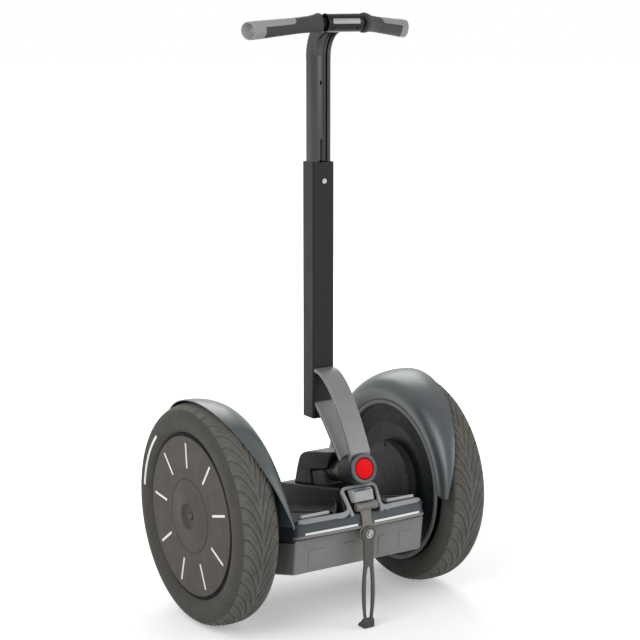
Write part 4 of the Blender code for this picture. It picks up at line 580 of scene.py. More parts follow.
def fender_section(sweep, count):
    """(distance from the middle, radius) from the edge over the tread to the trim ring."""
    reach = max(math.cos(sweep - FENDER_PEAK), 0)
    edge = (0.197 + 0.095 * reach, 0.2500 - 0.004 * (1 - reach))
    crown = (0.190 + 0.033 * reach, 0.247 + 0.0085 * reach)
    line = bezier(edge, crown, (0.185 - 0.003 * reach, 0.2165), (0.2135, 0.1830), 120)
    return through(line[line[:, 1] > RING_OUT + 0.0006], count)


def sheet_loop(line, half_wall, bead):
    """Round a line's sheet: (middle points, offsets), so that the offsets can be thinned."""
    run = unit(np.gradient(line, axis=0))
    normal = np.stack([run[:, 1], -run[:, 0]], -1)
    normal *= np.sign((normal * (line - (0.25, 0.20))).sum(1))[:, None]
    middle = line - normal * half_wall
    angle = np.radians([-60, -30, 0, 30, 60])[:, None]
    first = bead * (np.sin(angle) * normal[0] - np.cos(angle) * run[0])
    last = half_wall * (np.sin(-angle) * normal[-1] + np.cos(angle) * run[-1])
    spots = [np.repeat(middle[:1], len(angle), 0), middle, np.repeat(middle[-1:], len(angle), 0), middle[::-1]]
    return np.concatenate(spots), np.concatenate([first, normal * half_wall, last, -normal[::-1] * half_wall])


def make_fender(side, name):
    soft_edge = np.array([0, 0.0002, 0.0006, 0.0014]) / 0.25
    sweeps = np.concatenate([FENDER_FIRST + soft_edge, np.linspace(FENDER_FIRST, FENDER_LAST, 123)[1:-1],
                             FENDER_LAST - soft_edge[::-1]])
    thin = np.concatenate([[0.3, 0.65, 0.9], np.ones(len(sweeps) - 6), [0.9, 0.65, 0.3]])
    rows = []
    for sweep, share in zip(sweeps, thin):
        spots, offsets = sheet_loop(fender_section(sweep, 30), FENDER_HALF_WALL, 0.0016)
        x, r = (spots + offsets * share).T
        rows.append(np.stack([side * x, r * math.cos(sweep), r * math.sin(sweep)], -1))
    return piece(name, [loft(rows, from_base)], fender_plastic, "base",
                 [f"{side_name(side)}_fender"], sharp=50)


both_sides(fender_shell=make_fender)

# %% [markdown]
# The guard is a dish behind the fender's ring, with seven moulded ribs that run round it. The
# gearbox lid closes the middle, held by five screws. All are turned about the axle.

# %% Guards, rings and lids
RIB_FIRST, RIB_PITCH, RIB_COUNT = 0.1352, 0.0050, 7
RIB_HEIGHT, RIB_HALF = 0.0011, 0.0014
GUARD_IN, GUARD_OUT = 0.0903, 0.1766
LID_SCREWS, LID_SCREW_RADIUS, LID_SCREW_TURN = 5, 0.0815, 96.5


def guard_face(radius):
    """The dish's inner side: a cone with half-round ribs that stand towards the rider."""
    cone = np.interp(radius, [GUARD_IN, 0.1700, 0.1745, GUARD_OUT], [0.2250, 0.2160, 0.2120, 0.2115])
    from_rib = (radius - RIB_FIRST) / RIB_PITCH
    near = np.clip(np.round(from_rib), 0, RIB_COUNT - 1)
    return cone - RIB_HEIGHT * np.sqrt(np.clip(1 - ((from_rib - near) * RIB_PITCH / RIB_HALF) ** 2, 0, 1))


def make_guard(side, name):
    radius = np.concatenate([np.linspace(GUARD_IN, 0.1330, 12), np.linspace(0.1335, 0.1672, 96),
                             np.linspace(0.1680, GUARD_OUT, 14)])
    face = np.stack([radius, guard_face(radius)], -1)
    back = np.array([(GUARD_OUT, 0.2140), (0.1745, 0.2142), (0.1700, 0.2182), (GUARD_IN, 0.2272)])
    return piece(name, [on_axle(np.concatenate([face, back]), side)], guard_plastic, "base",
                 [f"{side_name(side)}_wheel_guard"], sharp=40)


def make_ring(side, name):
    corners = [(RING_IN, 0.2135), (RING_IN, 0.2100), (0.1800, 0.2091), (0.1840, 0.2090), (RING_OUT, 0.2102),
               (RING_OUT, 0.2135)]
    return piece(name, [on_axle(soften(corners, 0.0010, 4), side)], trim_grey, "base")


def make_lid(side, name):
    plate = [(0, 0.2048), (0.0560, 0.2048), (0.0575, 0.2054), (0.0590, 0.2054), (0.0605, 0.2050),
             (0.0860, 0.2050)]
    rim = arc((0.0873, 0.2070), 0.0020, -80, 0, 5).tolist()
    skins = [on_axle(np.array(plate + rim + [(0.0893, 0.2085), (0, 0.2085)]), side)]
    head = np.array([(0, 0.0036), (0.0016, 0.0036), (0.0019, 0.0022), (0.0038, 0.0022), (0.0044, 0.0028),
                     (0.0048, 0.0050), (0, 0.0050)])
    points, wrap = turned(head * (1, -1), 24)
    for k in range(LID_SCREWS):
        turn = math.radians(LID_SCREW_TURN + 360 / LID_SCREWS * k)
        y, z = LID_SCREW_RADIUS * math.cos(turn), LID_SCREW_RADIUS * math.sin(turn)
        screw = np.stack([side * (0.2080 + points[..., 2]), y + points[..., 0], z + points[..., 1]], -1)
        skins.append(skin(from_base(screw), wrap))
    return piece(name, skins, lid_plastic, "base", [f"{side_name(side)}_gearbox_lid"])


both_sides(guard_dish=make_guard, guard_ring=make_ring, lid_plate=make_lid)

# %% [markdown]
# More finishes, for the base: satin dark plastics for the console and bumpers, light trims,
# the grey floor boxes and the black mats.

# %% Finishes of the base
console_plastic = finish("console_plastic", (19, 20, 19), 0.42, mottle=0.07, mottle_scale=12, specular=0.2)
deck_plastic = finish("deck_plastic", (13, 14, 13), 0.42, mottle=0.07, mottle_scale=12, specular=0.14)
cove_plastic = finish("cove_plastic", (22, 23, 24), 0.4, mottle=0.06, specular=0.16)
bar_plastic = finish("bar_plastic", (150, 152, 154), 0.4, mottle=0.04, specular=0.4)
toe_plastic = finish("toe_plastic", (188, 190, 191), 0.36, mottle=0.04, specular=0.4)
frame_plastic = finish("frame_plastic", (62, 66, 69), 0.42, mottle=0.06, specular=0.3)
# The tray floor's near black is painted shade under the toe bars: the shapes are real, the darkness is shade.
shaded_tray_plastic = finish("shaded_tray_plastic", (26, 27, 28), 0.5, mottle=0.06, specular=0.2)
# Painted highlight: the ribs are lighter than the mat to show the light on their raised tops.
rib_highlight_rubber = finish("rib_highlight_rubber", (104, 104, 106), 0.6, mottle=0.08, grain=0.08, specular=0.25)
post_plastic = finish("post_plastic", (56, 56, 55), 0.5, mottle=0.08, specular=0.25)
bumper_plastic = finish("bumper_plastic", (60, 67, 71), 0.42, mottle=0.06, mottle_scale=10, specular=0.45)
panel_plastic = finish("panel_plastic", (170, 172, 170), 0.34, mottle=0.04, specular=0.5)
inset_blue = finish("inset_blue", (112, 120, 144), 0.3, mottle=0.05, specular=0.6)
battery_plastic = finish("battery_plastic", (130, 130, 128), 0.5, mottle=0.06, mottle_scale=12, specular=0.35)
mat_rubber = finish("mat_rubber", (34, 34, 35), 0.6, mottle=0.10, grain=0.10, specular=0.3)
print("finishes:", len(bpy.data.materials))

# %% [markdown]
# The console is a long cover down the middle: its side outline is carried across, and the
# sides lean in towards the top. A cove runs along each side, where the cover meets the mat.

# %% Console, coves and hump
CHASSIS_TOP = -0.0418
CONSOLE_FOOT_HALF, CONSOLE_TOP_HALF, CONSOLE_RISE = 0.0520, 0.0445, 0.0704
CONSOLE_HEIGHT, CONSOLE_TILT = 0.0286, 0.066     # of the top line: at the axle, and per metre back
NOSE_TOP_Y, NOSE_TOP_Z, NOSE_SLOPE = -0.189, 0.0161, math.radians(23.3)
PIVOT_HEIGHT = 0.051                             # of the pivot's axis, above the axle
COVE_FOOT, COVE_HEIGHT, COVE_DEEP = -0.0415, 0.0345, 0.0088
COVE_RADIUS, COVE_SINK = 0.0225, 0.86            # of the curl at both ends, and how far it sinks


def console_top(y):
    return CONSOLE_HEIGHT + CONSOLE_TILT * y


def nose_y(height, ahead=0.0):
    """The console's sloping front at a height, and anything that stands ahead of it."""
    return NOSE_TOP_Y - (NOSE_TOP_Z - height) * math.tan(NOSE_SLOPE) - ahead


def console_half(z):
    return CONSOLE_FOOT_HALF - (CONSOLE_FOOT_HALF - CONSOLE_TOP_HALF) * (z - CHASSIS_TOP) / CONSOLE_RISE


def make_console():
    foot = CHASSIS_TOP + 0.0003
    corners = [(nose_y(foot), foot), (0.182, foot), (0.182, -0.028), (0.147, 0.0), (0.085, console_top(0.055)),
               (0.055, console_top(0.055)), (-0.020, console_top(-0.020)), (NOSE_TOP_Y, console_top(NOSE_TOP_Y))]
    outline = soften(corners, [0.001, 0.001, 0.010, 0.020, 0.012, 0.012, 0.02, 0.007], 6)

    def place(flat, height):
        across = height / CONSOLE_FOOT_HALF * console_half(flat[:, 1])
        return from_base(np.stack([across, flat[:, 0], flat[:, 1]], -1))
    return piece("console_cover", [slab(outline, -CONSOLE_FOOT_HALF, CONSOLE_FOOT_HALF, 0.007, place, 8)],
                 deck_plastic, "base", ["console"], sharp=50)


def make_cove(side, name):
    """A hollow-faced wall: it runs along the console, curls out at both ends and sinks there."""
    corner = (0.0745, 0.1700)
    turn = np.radians(np.linspace(180, 90, 15))
    ray = np.stack([np.cos(turn), np.sin(turn)], -1)
    straight = np.stack([np.full(8, CONSOLE_FOOT_HALF), np.linspace(0, 0.150, 8)], -1)
    half = np.concatenate([straight, corner + COVE_RADIUS * ray])
    half_towards = np.concatenate([np.tile((1.0, 0.0), (8, 1)), -ray])
    half_tall = np.concatenate([np.ones(8), 1 - COVE_SINK * smoothstep(np.linspace(0, 1, 15))])
    path = np.concatenate([half[::-1] * (1, -1), half[1:]])
    towards = np.concatenate([half_towards[::-1] * (1, -1), half_towards[1:]])
    tall = np.concatenate([half_tall[::-1], half_tall[1:]])
    hollow = np.radians(np.linspace(0, 90, 13))
    face = np.stack([-0.0036 + COVE_DEEP * (1 - np.sin(hollow)), 0.0100 + 0.0245 * (1 - np.cos(hollow))], -1)
    wall = np.concatenate([face, [(-0.0046, COVE_HEIGHT), (-0.0010, 0.0), (0.0052, 0.0)]])
    lip = soften([(-0.0030, COVE_HEIGHT), (-0.0030, 0.0366), (-0.0060, 0.0366), (-0.0028, 0.0), (-0.0011, 0.0),
                  (-0.0047, COVE_HEIGHT)], [0.0004, 0.0010, 0.0010, 0.0004, 0.0004, 0.0004], 3)
    for section, label in ((wall, "cove"), (lip, "cove_lip")):
        flat = path[:, None] + towards[:, None] * section[None, :, :1]
        z = COVE_FOOT + section[None, :, 1] * tall[:, None]
        points = np.concatenate([flat, z[..., None]], -1) * (side, 1, 1)
        piece(f"{name}_{label}", [loft(points, from_base)], cove_plastic, "base", sharp=60)


def make_hump():
    def seat(y):
        return console_top(y) - 0.001
    corners = [(0.018, seat(0.018)), (-0.0070, 0.0710), (-0.0240, 0.0928), (-0.0500, 0.0988), (-0.1500, 0.0928),
               (-0.1540, 0.0858), (-0.1300, 0.0570), (-0.0602, 0.0570), (-0.0602, seat(-0.0602))]
    outline = soften(corners, [0.004, 0.012, 0.014, 0.020, 0.008, 0.012, 0.006, 0.005, 0.004], 6)
    return piece("hump_cover", [slab(outline, -0.031, 0.031, 0.0032, flat_on("X", from_base), 6)],
                 console_plastic, "base", ["console_hump"], sharp=50)


def make_post():
    """The block that carries the pivot, in the hump's notch. Its neck and pin are hidden."""
    front, rear, top = -0.1118, -0.0612, 0.0549
    foot = console_top(rear) - 0.004
    outline = soften([(rear, foot), (rear, top), (front, top), (front, foot - 0.003)],
                     [0.004, 0.005, 0.008, 0.004], 6)
    neck = soften([(rear, 0.0500), (rear, 0.0730), (front, 0.0730), (front, 0.0500)], 0.004, 4)
    pin = [(0, -0.0700), (0.0100, -0.0700), (0.0100, -0.2255), (0, -0.2255)]
    points, wrap = turned(pin, 32)
    along = np.stack([points[..., 0], points[..., 2], points[..., 1] + PIVOT_HEIGHT], -1)
    skins = [slab(outline, -0.0288, 0.0288, 0.0030, flat_on("X", from_base), 5),
             slab(neck, -0.0222, 0.0222, 0.0020, flat_on("X", from_base), 3), skin(from_base(along), wrap)]
    return piece("pivot_block", skins, post_plastic, "base", ["pivot_post"], sharp=50)


make_console()
make_post()
for side in (1, -1):
    make_cove(side, side_name(side))
make_hump()

# %% [markdown]
# The nose carries a light arch. Inside it stands the charge block: rings of points, from its
# back edge round the front and down into the socket, so that the recess is real. The flap hangs
# in front of the socket on its own hinge.

# %% Arch, charge block and flap
ARCH_FOOT, ARCH_BAND, ARCH_DEPTH = -0.0450, 0.0070, 0.0080
PANEL_FACE, PANEL_FOOT, PANEL_SHOULDER, PANEL_TOP = -0.2144, -0.0193, 0.0040, 0.0092
PANEL_LEAN = 1.45                                # metres back per metre up, over the shoulder
HINGE_RADIUS = 0.0018


def make_bezel():
    """A round-cornered band carried up, over and down in the plane of the sloping nose."""
    length = (NOSE_TOP_Z + 0.0005 - ARCH_FOOT) / math.cos(NOSE_SLOPE)
    corner = arc((-0.0457 + 0.013, length - 0.013), 0.013 - ARCH_BAND / 2, 180, 90, 10)
    leg = np.linspace((-0.0410 + ARCH_BAND / 2, 0), (-0.0456 + ARCH_BAND / 2, length - 0.0145), 8)
    half = np.concatenate([leg, corner])
    flat = np.concatenate([half, half[::-1] * (-1, 1)])
    s, c = math.sin(NOSE_SLOPE), math.cos(NOSE_SLOPE)
    start = nose_y(ARCH_FOOT, (ARCH_DEPTH / 2 + 0.0003) / c)
    path = np.stack([flat[:, 0], start + flat[:, 1] * s, ARCH_FOOT + flat[:, 1] * c], -1)
    section = rounded_box(ARCH_BAND / 2, ARCH_DEPTH / 2, 0.0018, 4)
    return piece("nose_arch", [swept(section, path, (0, c, -s), from_base)], bar_plastic, "base",
                 ["console_bezel"])


def panel_front(z, set_back=0.0):
    """The block's face stands upright up to its shoulder, then leans back to the top."""
    return PANEL_FACE + np.clip(z - PANEL_SHOULDER, 0, None) * PANEL_LEAN + set_back


def make_panel():
    """Rings of points: the back edge, the sides, the rounded rim, the face, then the socket."""
    def ring(half_x, low, high, corner, y):
        flat = rounded_box(half_x, (high - low) / 2, corner, 4) + (0, (low + high) / 2)
        depth = y(flat[:, 1]) if callable(y) else np.full(len(flat), y)
        return np.stack([flat[:, 0], depth, flat[:, 1]], -1)
    low, high, face = PANEL_FOOT, PANEL_TOP, PANEL_FACE
    rings = [ring(0.0260, low, high, 0.0030, lambda z: nose_y(z, 0.0003)),
             ring(0.0260, low, high, 0.0030, lambda z: panel_front(z, 0.0016)),
             ring(0.0257, low + 0.0003, high - 0.0003, 0.0030, lambda z: panel_front(z, 0.0006)),
             ring(0.0250, low + 0.0010, high - 0.0010, 0.0028, lambda z: panel_front(z, 0.0001)),
             ring(0.0244, low + 0.0016, PANEL_SHOULDER + 0.0006, 0.0024, panel_front),
             ring(0.0240, low + 0.0020, PANEL_SHOULDER - 0.0006, 0.0022, face),
             ring(0.0108, -0.0153, -0.0007, 0.0018, face),
             ring(0.0101, -0.0146, -0.0014, 0.0012, face + 0.0006),
             ring(0.0100, -0.0145, -0.0015, 0.0010, face + 0.0020),
             ring(0.0100, -0.0145, -0.0015, 0.0010, face + 0.0070)]
    return piece("charge_block", [loft(rings, from_base)], panel_plastic, "base",
                 ["charge_panel"], sharp=40)


def make_inset():
    """A blue-grey strip let into the block's leaning shoulder."""
    lean, half = math.atan(PANEL_LEAN), 0.0030
    outline = rounded_box(0.0205, half, 0.0014, 4)

    def place(flat, height):
        y = PANEL_FACE + (half + flat[:, 1]) * math.sin(lean) - height * math.cos(lean)
        z = PANEL_SHOULDER + (half + flat[:, 1]) * math.cos(lean) + height * math.sin(lean)
        return from_base(np.stack([flat[:, 0], y, z], -1))
    return piece("block_inset", [slab(outline, -0.0010, 0.0003, 0.0002, place, 2)], inset_blue, "base")


def make_flap():
    y, z = PANEL_FACE - 0.0003 - HINGE_RADIUS, 0.0025
    leaf = [(y - 0.0002, -0.0006), (y - 0.0002, -0.0172), (y + 0.0004, -0.0178), (y + 0.0018, -0.0178)]
    corners = np.concatenate([arc((y, z), HINGE_RADIUS, 0, 180, 10), leaf])
    return piece("flap_leaf", [slab(corners, -0.0232, 0.0232, 0.0008, flat_on("X", from_base), 5)],
                 panel_plastic, "flap", ["charge_flap"])


make_bezel()
make_panel()
make_inset()
make_flap()

# %% [markdown]
# A bumper wraps each end of the base. Its face is one wide arc with round corners, seen from
# above, carried up its height with soft edges. A lighter edge runs round each one's foot, and
# two white strips follow the front one's face.

# %% Bumpers
BUMPER_REACH, BUMPER_BOW, BUMPER_CORNER = 0.2096, 0.906, 0.018   # BOW is the face's radius
BUMPER_HALF, BUMPER_INNER_HALF = 0.166, 0.1618
BUMPER_INNER, BUMPER_BACK = -0.1843, -0.0625
BUMPER_LOW, BUMPER_HIGH = -0.0750, -0.0421
STRIP_START, STRIP_END, STRIP_COUNT = 0.0215, 0.147, 30


def end_name(front):
    return "front" if front else "rear"


def bumper_face(x, set_back=0.0):
    return BUMPER_REACH - set_back - np.square(x) / (2 * BUMPER_BOW)


def bumper_line(half, set_back=0.0, count=25):
    """The face as seen from above, left to right, between round corners that end on the sides."""
    spread = half - BUMPER_CORNER
    x = np.linspace(0, spread, count)
    front = np.stack([x, -bumper_face(x, set_back)], -1)
    corner = arc((spread, front[-1, 1] + BUMPER_CORNER), BUMPER_CORNER, -78, 0, 8)
    half_line = np.concatenate([front, corner])
    return np.concatenate([half_line[:0:-1] * (-1, 1), half_line])


def make_bumper(front):
    """The wrap with a thin lip round it, and a lighter edge along its foot."""
    turn = (1, 1) if front else (1, -1)

    def bead(half, set_back, height, section):
        path = bumper_line(half, set_back) * turn
        return swept(section, np.column_stack([path, np.full(len(path), height)]), (0, 0, 1), from_base)
    inside = [(BUMPER_HALF, BUMPER_BACK), (BUMPER_INNER_HALF, BUMPER_BACK), (BUMPER_INNER_HALF, BUMPER_INNER),
              (-BUMPER_INNER_HALF, BUMPER_INNER), (-BUMPER_INNER_HALF, BUMPER_BACK)]
    outline = np.concatenate([[(-BUMPER_HALF, BUMPER_BACK)], bumper_line(BUMPER_HALF), inside])
    skins = [slab(outline * turn, BUMPER_LOW, BUMPER_HIGH, 0.0020, flat_on("Z", from_base), 4),
             bead(0.1675, -0.0004, -0.0470, rounded_box(0.0011, 0.0016, 0.0009, 3))]
    piece(f"{end_name(front)}_bumper_edge", [bead(0.1661, 0.0001, -0.0718, rounded_box(0.0008, 0.0029, 0.0007, 3))],
          battery_plastic, "base")
    return piece(f"{end_name(front)}_bumper_wrap", skins, bumper_plastic, "base",
                 [f"{end_name(front)}_bumper"])


def make_strips():
    """Two white strips along the front face, one each side of the stand's plate."""
    skins = []
    for side in (1, -1):
        x = side * np.linspace(STRIP_START, STRIP_END, STRIP_COUNT)
        path = np.stack([x, -bumper_face(x, -0.0001), np.full(STRIP_COUNT, -0.0660)], -1)
        skins.append(swept(rounded_box(0.0007, 0.0024, 0.0006, 3), path, (0, 0, 1), from_base))
    return piece("bumper_strips", skins, reflector_white, "base")


make_bumper(True)
make_bumper(False)
make_strips()

# %% [markdown]
# Two grey boxes make the floor. Their ends lean in towards the ground, and raised pads stand
# on them. A pad is an outline on the leaning end, lifted along the end's own normal.

# %% Floor boxes
BOX_HALF, BOX_TOP, BOX_STEP, BOX_BOTTOM, BOX_END = 0.166, -0.0768, -0.1088, -0.1512, 0.1865
END_DOWN = np.array([-0.0295, -0.0744]) / 0.08003    # along the leaning end, towards the ground
END_OUT = np.array([0.0744, -0.0295]) / 0.08003      # square to it
PADS = ((-0.131, -0.089), (-0.045, -0.007), (0.048, 0.068), (0.103, 0.139))
PAD_MIDDLE, PAD_HALF = 0.0490, 0.0215                # down the leaning end


def make_floor_box(front):
    outline = np.array([(BOX_END, BOX_TOP), (0.046, BOX_TOP), (0.046, BOX_STEP), (0.0015, BOX_STEP),
                        (0.0015, BOX_BOTTOM), (0.157, BOX_BOTTOM)])
    outline = soften(outline * ((-1 if front else 1), 1), [0.005, 0.001, 0.001, 0.001, 0.004, 0.008], 5)
    skins = [slab(outline, -BOX_HALF, BOX_HALF, 0.005, flat_on("X", from_base), 5)]

    def place(flat, height):
        y = BOX_END + flat[:, 1] * END_DOWN[0] + height * END_OUT[0]
        z = BOX_TOP + flat[:, 1] * END_DOWN[1] + height * END_OUT[1]
        return from_base(np.stack([flat[:, 0], -y if front else y, z], -1))
    for first, last in PADS:
        pad = rounded_box((last - first) / 2, PAD_HALF, 0.004, 4) + ((first + last) / 2, PAD_MIDDLE)
        skins.append(slab(pad, -0.002, 0.0013, 0.0009, place, 3))
    return piece(f"{end_name(front)}_floor_box", skins, battery_plastic, "base",
                 [f"{end_name(front)}_battery"])


make_floor_box(True)
make_floor_box(False)

# %% [markdown]
# The footrests: a dark frame round a floor painted near black for the shade under the toe bars, a light band
# over the bumper's rim at each end, a toe bar on two posts inside it, and a black mat that sinks under a foot.
# The frame is a band between two outlines with the same number of points. The mat is a flat pad that carries
# slanted ribs in mirrored pairs.

# %% Frames, end bars and mats
MAT_MIDDLE, MAT_HALF_X, MAT_HALF_Y = 0.1075, 0.0500, 0.1680
TRAY_LOW, TRAY_HIGH, TRAY_DIP = -0.0415, -0.0310, 0.0052
TRAY_IN, TRAY_OUT, TRAY_CORNER = 0.0535, 0.1640, 0.014
TRAY_STOPS = (0.150, 0.156, 0.162)               # where the sides begin to dip
RIB_STEP, RIB_SLANT, RIB_BAR_HALF = 0.0115, 0.75, 0.0021
RIB_IN, RIB_OUT, RIB_REACH = 0.0022, 0.0455, 0.1630


def band(outer, inner, low, high, edge, place):
    """A closed band between two matched outlines, with rounded top edges."""
    ends = rounding(edge)
    rows = [place(outer, low)]
    rows += [place(draw_in(outer, inset), high - drop) for inset, drop in ends[::-1]]
    rows += [place(draw_in(inner, -inset), high - drop) for inset, drop in ends]
    rows.append(place(inner, low))
    return skin(np.stack(rows), (True, True))


def frame_outlines(side):
    """The frame's outside follows the bumper at both ends, and its inside is the mat's box."""
    count, half_x, half_y, corner = 14, MAT_HALF_X + 0.0006, MAT_HALF_Y + 0.0006, 0.003
    x = np.linspace(TRAY_IN + 0.0015, TRAY_OUT - TRAY_CORNER, count)
    end = np.stack([x, bumper_face(x, 0.006)], -1)
    outer = np.concatenate([[(TRAY_IN, y) for y in (*TRAY_STOPS, end[0, 1] - 0.0015)], end,
                            arc((TRAY_OUT - TRAY_CORNER, end[-1, 1] - TRAY_CORNER), TRAY_CORNER, 84, 0, 6),
                            [(TRAY_OUT, y) for y in TRAY_STOPS[::-1]]])
    first, last = MAT_MIDDLE - half_x, MAT_MIDDLE + half_x
    inner_x = np.linspace(first + 0.002, last - corner, count)
    inner = np.concatenate([[(first, y) for y in (*TRAY_STOPS, half_y - 0.002)],
                            np.stack([inner_x, np.full(count, half_y)], -1),
                            arc((last - corner, half_y - corner), corner, 84, 0, 6),
                            [(last, y) for y in TRAY_STOPS[::-1]]])
    return [np.concatenate([half, half[::-1] * (1, -1)]) * (side, 1) for half in (outer, inner)]


def make_frame(side, name):
    """The band is lower at both ends than along the sides."""
    outer, inner = frame_outlines(side)

    def place(flat, height):
        at_end = smoothstep((np.abs(flat[:, 1]) - TRAY_STOPS[0]) / 0.012)
        dip = TRAY_DIP * at_end * (height - TRAY_LOW) / (TRAY_HIGH - TRAY_LOW)
        return flat_on("Z", from_base)(flat, height - dip)
    return piece(name, [band(outer, inner, TRAY_LOW, TRAY_HIGH, 0.0014, place)], frame_plastic, "base",
                 [f"{side_name(side)}_mat_frame"])


def make_toe_bars(side, name):
    bar = rounded_box(0.0362, 0.0040, 0.0038, 6)
    skins = [slab(bar + (side * 0.1100, end * 0.1855), -0.0338, -0.0262, 0.0028, flat_on("Z", from_base), 5)
             for end in (-1, 1)]
    return piece(name, skins, toe_plastic, "base")


def make_end_bars(side, name):
    """A round-edged band over the bumper's rim at each end. The front one flows up into the
    arch's leg, and all the other ends taper."""
    x = np.linspace(0.0690, 0.1570, 20)
    rim = np.stack([x, -bumper_face(x, 0.0042), np.full(20, -0.0405)], -1)
    leg = bezier((0.0387, nose_y(-0.0190, 0.0046), -0.0190), (0.0385, nose_y(-0.0370, 0.0052), -0.0370),
                 (0.0480, -0.2115, -0.0412), rim[0], 16)[:-1]
    taper = [0.95, 0.8, 0.5]
    front = np.concatenate([leg, rim]), np.concatenate([np.linspace(0.57, 1, 12), np.ones(20), taper])
    rear = rim[3:] * (1, -1, 1), np.concatenate([taper[::-1], np.ones(11), taper])
    skins = [swept(rounded_box(0.0062, 0.0048, 0.0038, 6), path * (side, 1, 1), (0, 1, 0), from_base, share)
             for path, share in (front, rear)]
    return piece(name, skins, bar_plastic, "base")


def make_tray_floor(side, name):
    """The floor under the toe bars, painted near black for the shade that the bars cast, with two posts that carry
    each bar.
    """
    plate, post = rounded_box(0.0500, 0.0115, 0.0030, 4), rounded_box(0.0030, 0.0024, 0.0010, 3)
    place = flat_on("Z", from_base)
    skins = []
    for end in (-1, 1):
        skins.append(slab(plate + (side * 0.1085, end * 0.1805), -0.0380, -0.0357, 0.0003, place, 2))
        skins += [slab(post + (side * x, end * 0.1858), -0.0365, -0.0325, 0.0004, place, 2) for x in (0.0860, 0.1340)]
    return piece(name, skins, shaded_tray_plastic, "base")


def make_mat(side, name):
    """A flat pad with a round edge."""
    pad = rounded_box(MAT_HALF_X, MAT_HALF_Y, 0.003, 4) + (side * MAT_MIDDLE, 0)
    return piece(name, [slab(pad, -0.0400, -0.0346, 0.0012, flat_on("Z", from_base), 4)], mat_rubber,
                 f"{side_name(side)}_foot_mat", [f"{side_name(side)}_mat"])


def make_ribs(side, name):
    """Slanted bars in mirrored pairs, in a lighter grey that is painted highlight on their raised tops. Each is cut
    short where it would leave the mat.
    """
    skins = []
    for start in np.arange(-0.1600, 0.2000, RIB_STEP):
        outer = min(RIB_OUT, (start + RIB_REACH) / RIB_SLANT)
        inner = max(RIB_IN, (start - RIB_REACH) / RIB_SLANT)
        if outer - inner < 0.010:
            continue
        bar = [(x, start - RIB_SLANT * x + off) for x, off in (
            (inner, -RIB_BAR_HALF), (outer, -RIB_BAR_HALF), (outer, RIB_BAR_HALF), (inner, RIB_BAR_HALF))]
        for half in (-1, 1):
            outline = soften(np.array(bar) * (half, 1) + (MAT_MIDDLE, 0), 0.0014, 3) * (side, 1)
            skins.append(slab(outline, -0.0352, -0.0330, 0.0007, flat_on("Z", from_base), 3))
    # The ribs' light grey is painted highlight, for the light that their raised tops catch.
    return piece(name, skins, rib_highlight_rubber, f"{side_name(side)}_foot_mat")


both_sides(tray_frame=make_frame, toe_bars=make_toe_bars, end_bars=make_end_bars, tray_floor=make_tray_floor,
           mat_pad=make_mat, mat_ribs=make_ribs)

# %% [markdown]
# The lean arm joins the mast to the pivot in the base's nose: two flat bars of rounded section
# follow side-view curves, and a turned barrel with a raised ring holds a plain red disc.
# Turned parts here have axes of their own, so one helper turns a profile about any axis.

# %% Lean arm, pivot and disc
arm_metal = finish("arm_metal", (128, 128, 128), 0.38, metal=0.3, mottle=0.05, mottle_scale=9, grain=0.07,
                   stretch=(1, 1, 3))
barrel_metal = finish("barrel_metal", (38, 38, 37), 0.45, metal=0.1, mottle=0.07, specular=0.3)
ring_metal = finish("ring_metal", (84, 90, 94), 0.34, metal=0.3, mottle=0.05, specular=0.4)
red_enamel = finish("red_enamel", (236, 0, 16), 0.4, mottle=0.02, grain=0.0, specular=0.12)
MAST_Y = -0.0283
SLEEVE_HALF_X, SLEEVE_HALF_Y, SLEEVE_WALL = 0.0269, 0.02225, 0.0024
ARM_NOSE = -0.2335
STRAP_THICK = 0.009


def spun(profile, centre, along, frame_of, steps=64):
    """A (radius, height) profile turned about the axis through 'centre' that runs 'along'."""
    points, wrap = turned(profile, steps)
    along = unit(along)
    side = unit(np.cross((0, 0, 1) if abs(along[2]) < 0.9 else (1, 0, 0), along))
    other = np.cross(along, side)
    placed = points[..., :1] * side + points[..., 1:2] * other + points[..., 2:] * along + np.asarray(centre, float)
    return skin(frame_of(placed), wrap)


def on_pivot(profile, steps=96):
    """Turned about the pivot's own axis, which runs along the base."""
    return spun(profile, (0, 0, PIVOT_HEIGHT), (0, 1, 0), from_base, steps)


def strap(outer, half_x):
    """A flat bar whose outer face follows a line in the side view, from the mast to the pivot."""
    run = unit(np.gradient(outer, axis=0))
    run[0] = (-1, 0)
    middle = outer + np.stack([-run[:, 1], run[:, 0]], -1) * STRAP_THICK / 2
    path = np.column_stack([np.zeros(len(middle)), middle])
    return swept(rounded_box(STRAP_THICK / 2, half_x, 0.0028, 5), path, (1, 0, 0), from_mast)


def make_arm():
    """Two bars from the sleeve to the pivot's barrel. The front one turns down at its foot."""
    end, foot = np.array([-0.1976, 0.1415]), np.array([-0.1950, 0.1240])
    front = bezier((-0.05085, 0.3000), (-0.1020, 0.3010), (-0.1535, 0.2270), end, 44)
    bend = bezier(end, end + (0.0004, -0.006), foot + (-0.0002, 0.006), foot, 9)[1:]
    rear = bezier((-0.05085, 0.2250), (-0.0660, 0.2170), (-0.1120, 0.1640), (-0.1600, 0.1110), 44)
    return piece("arm_casting", [strap(np.concatenate([front, bend]), 0.0255), strap(rear, 0.0235)], arm_metal,
                 "lean", ["lean_arm"])


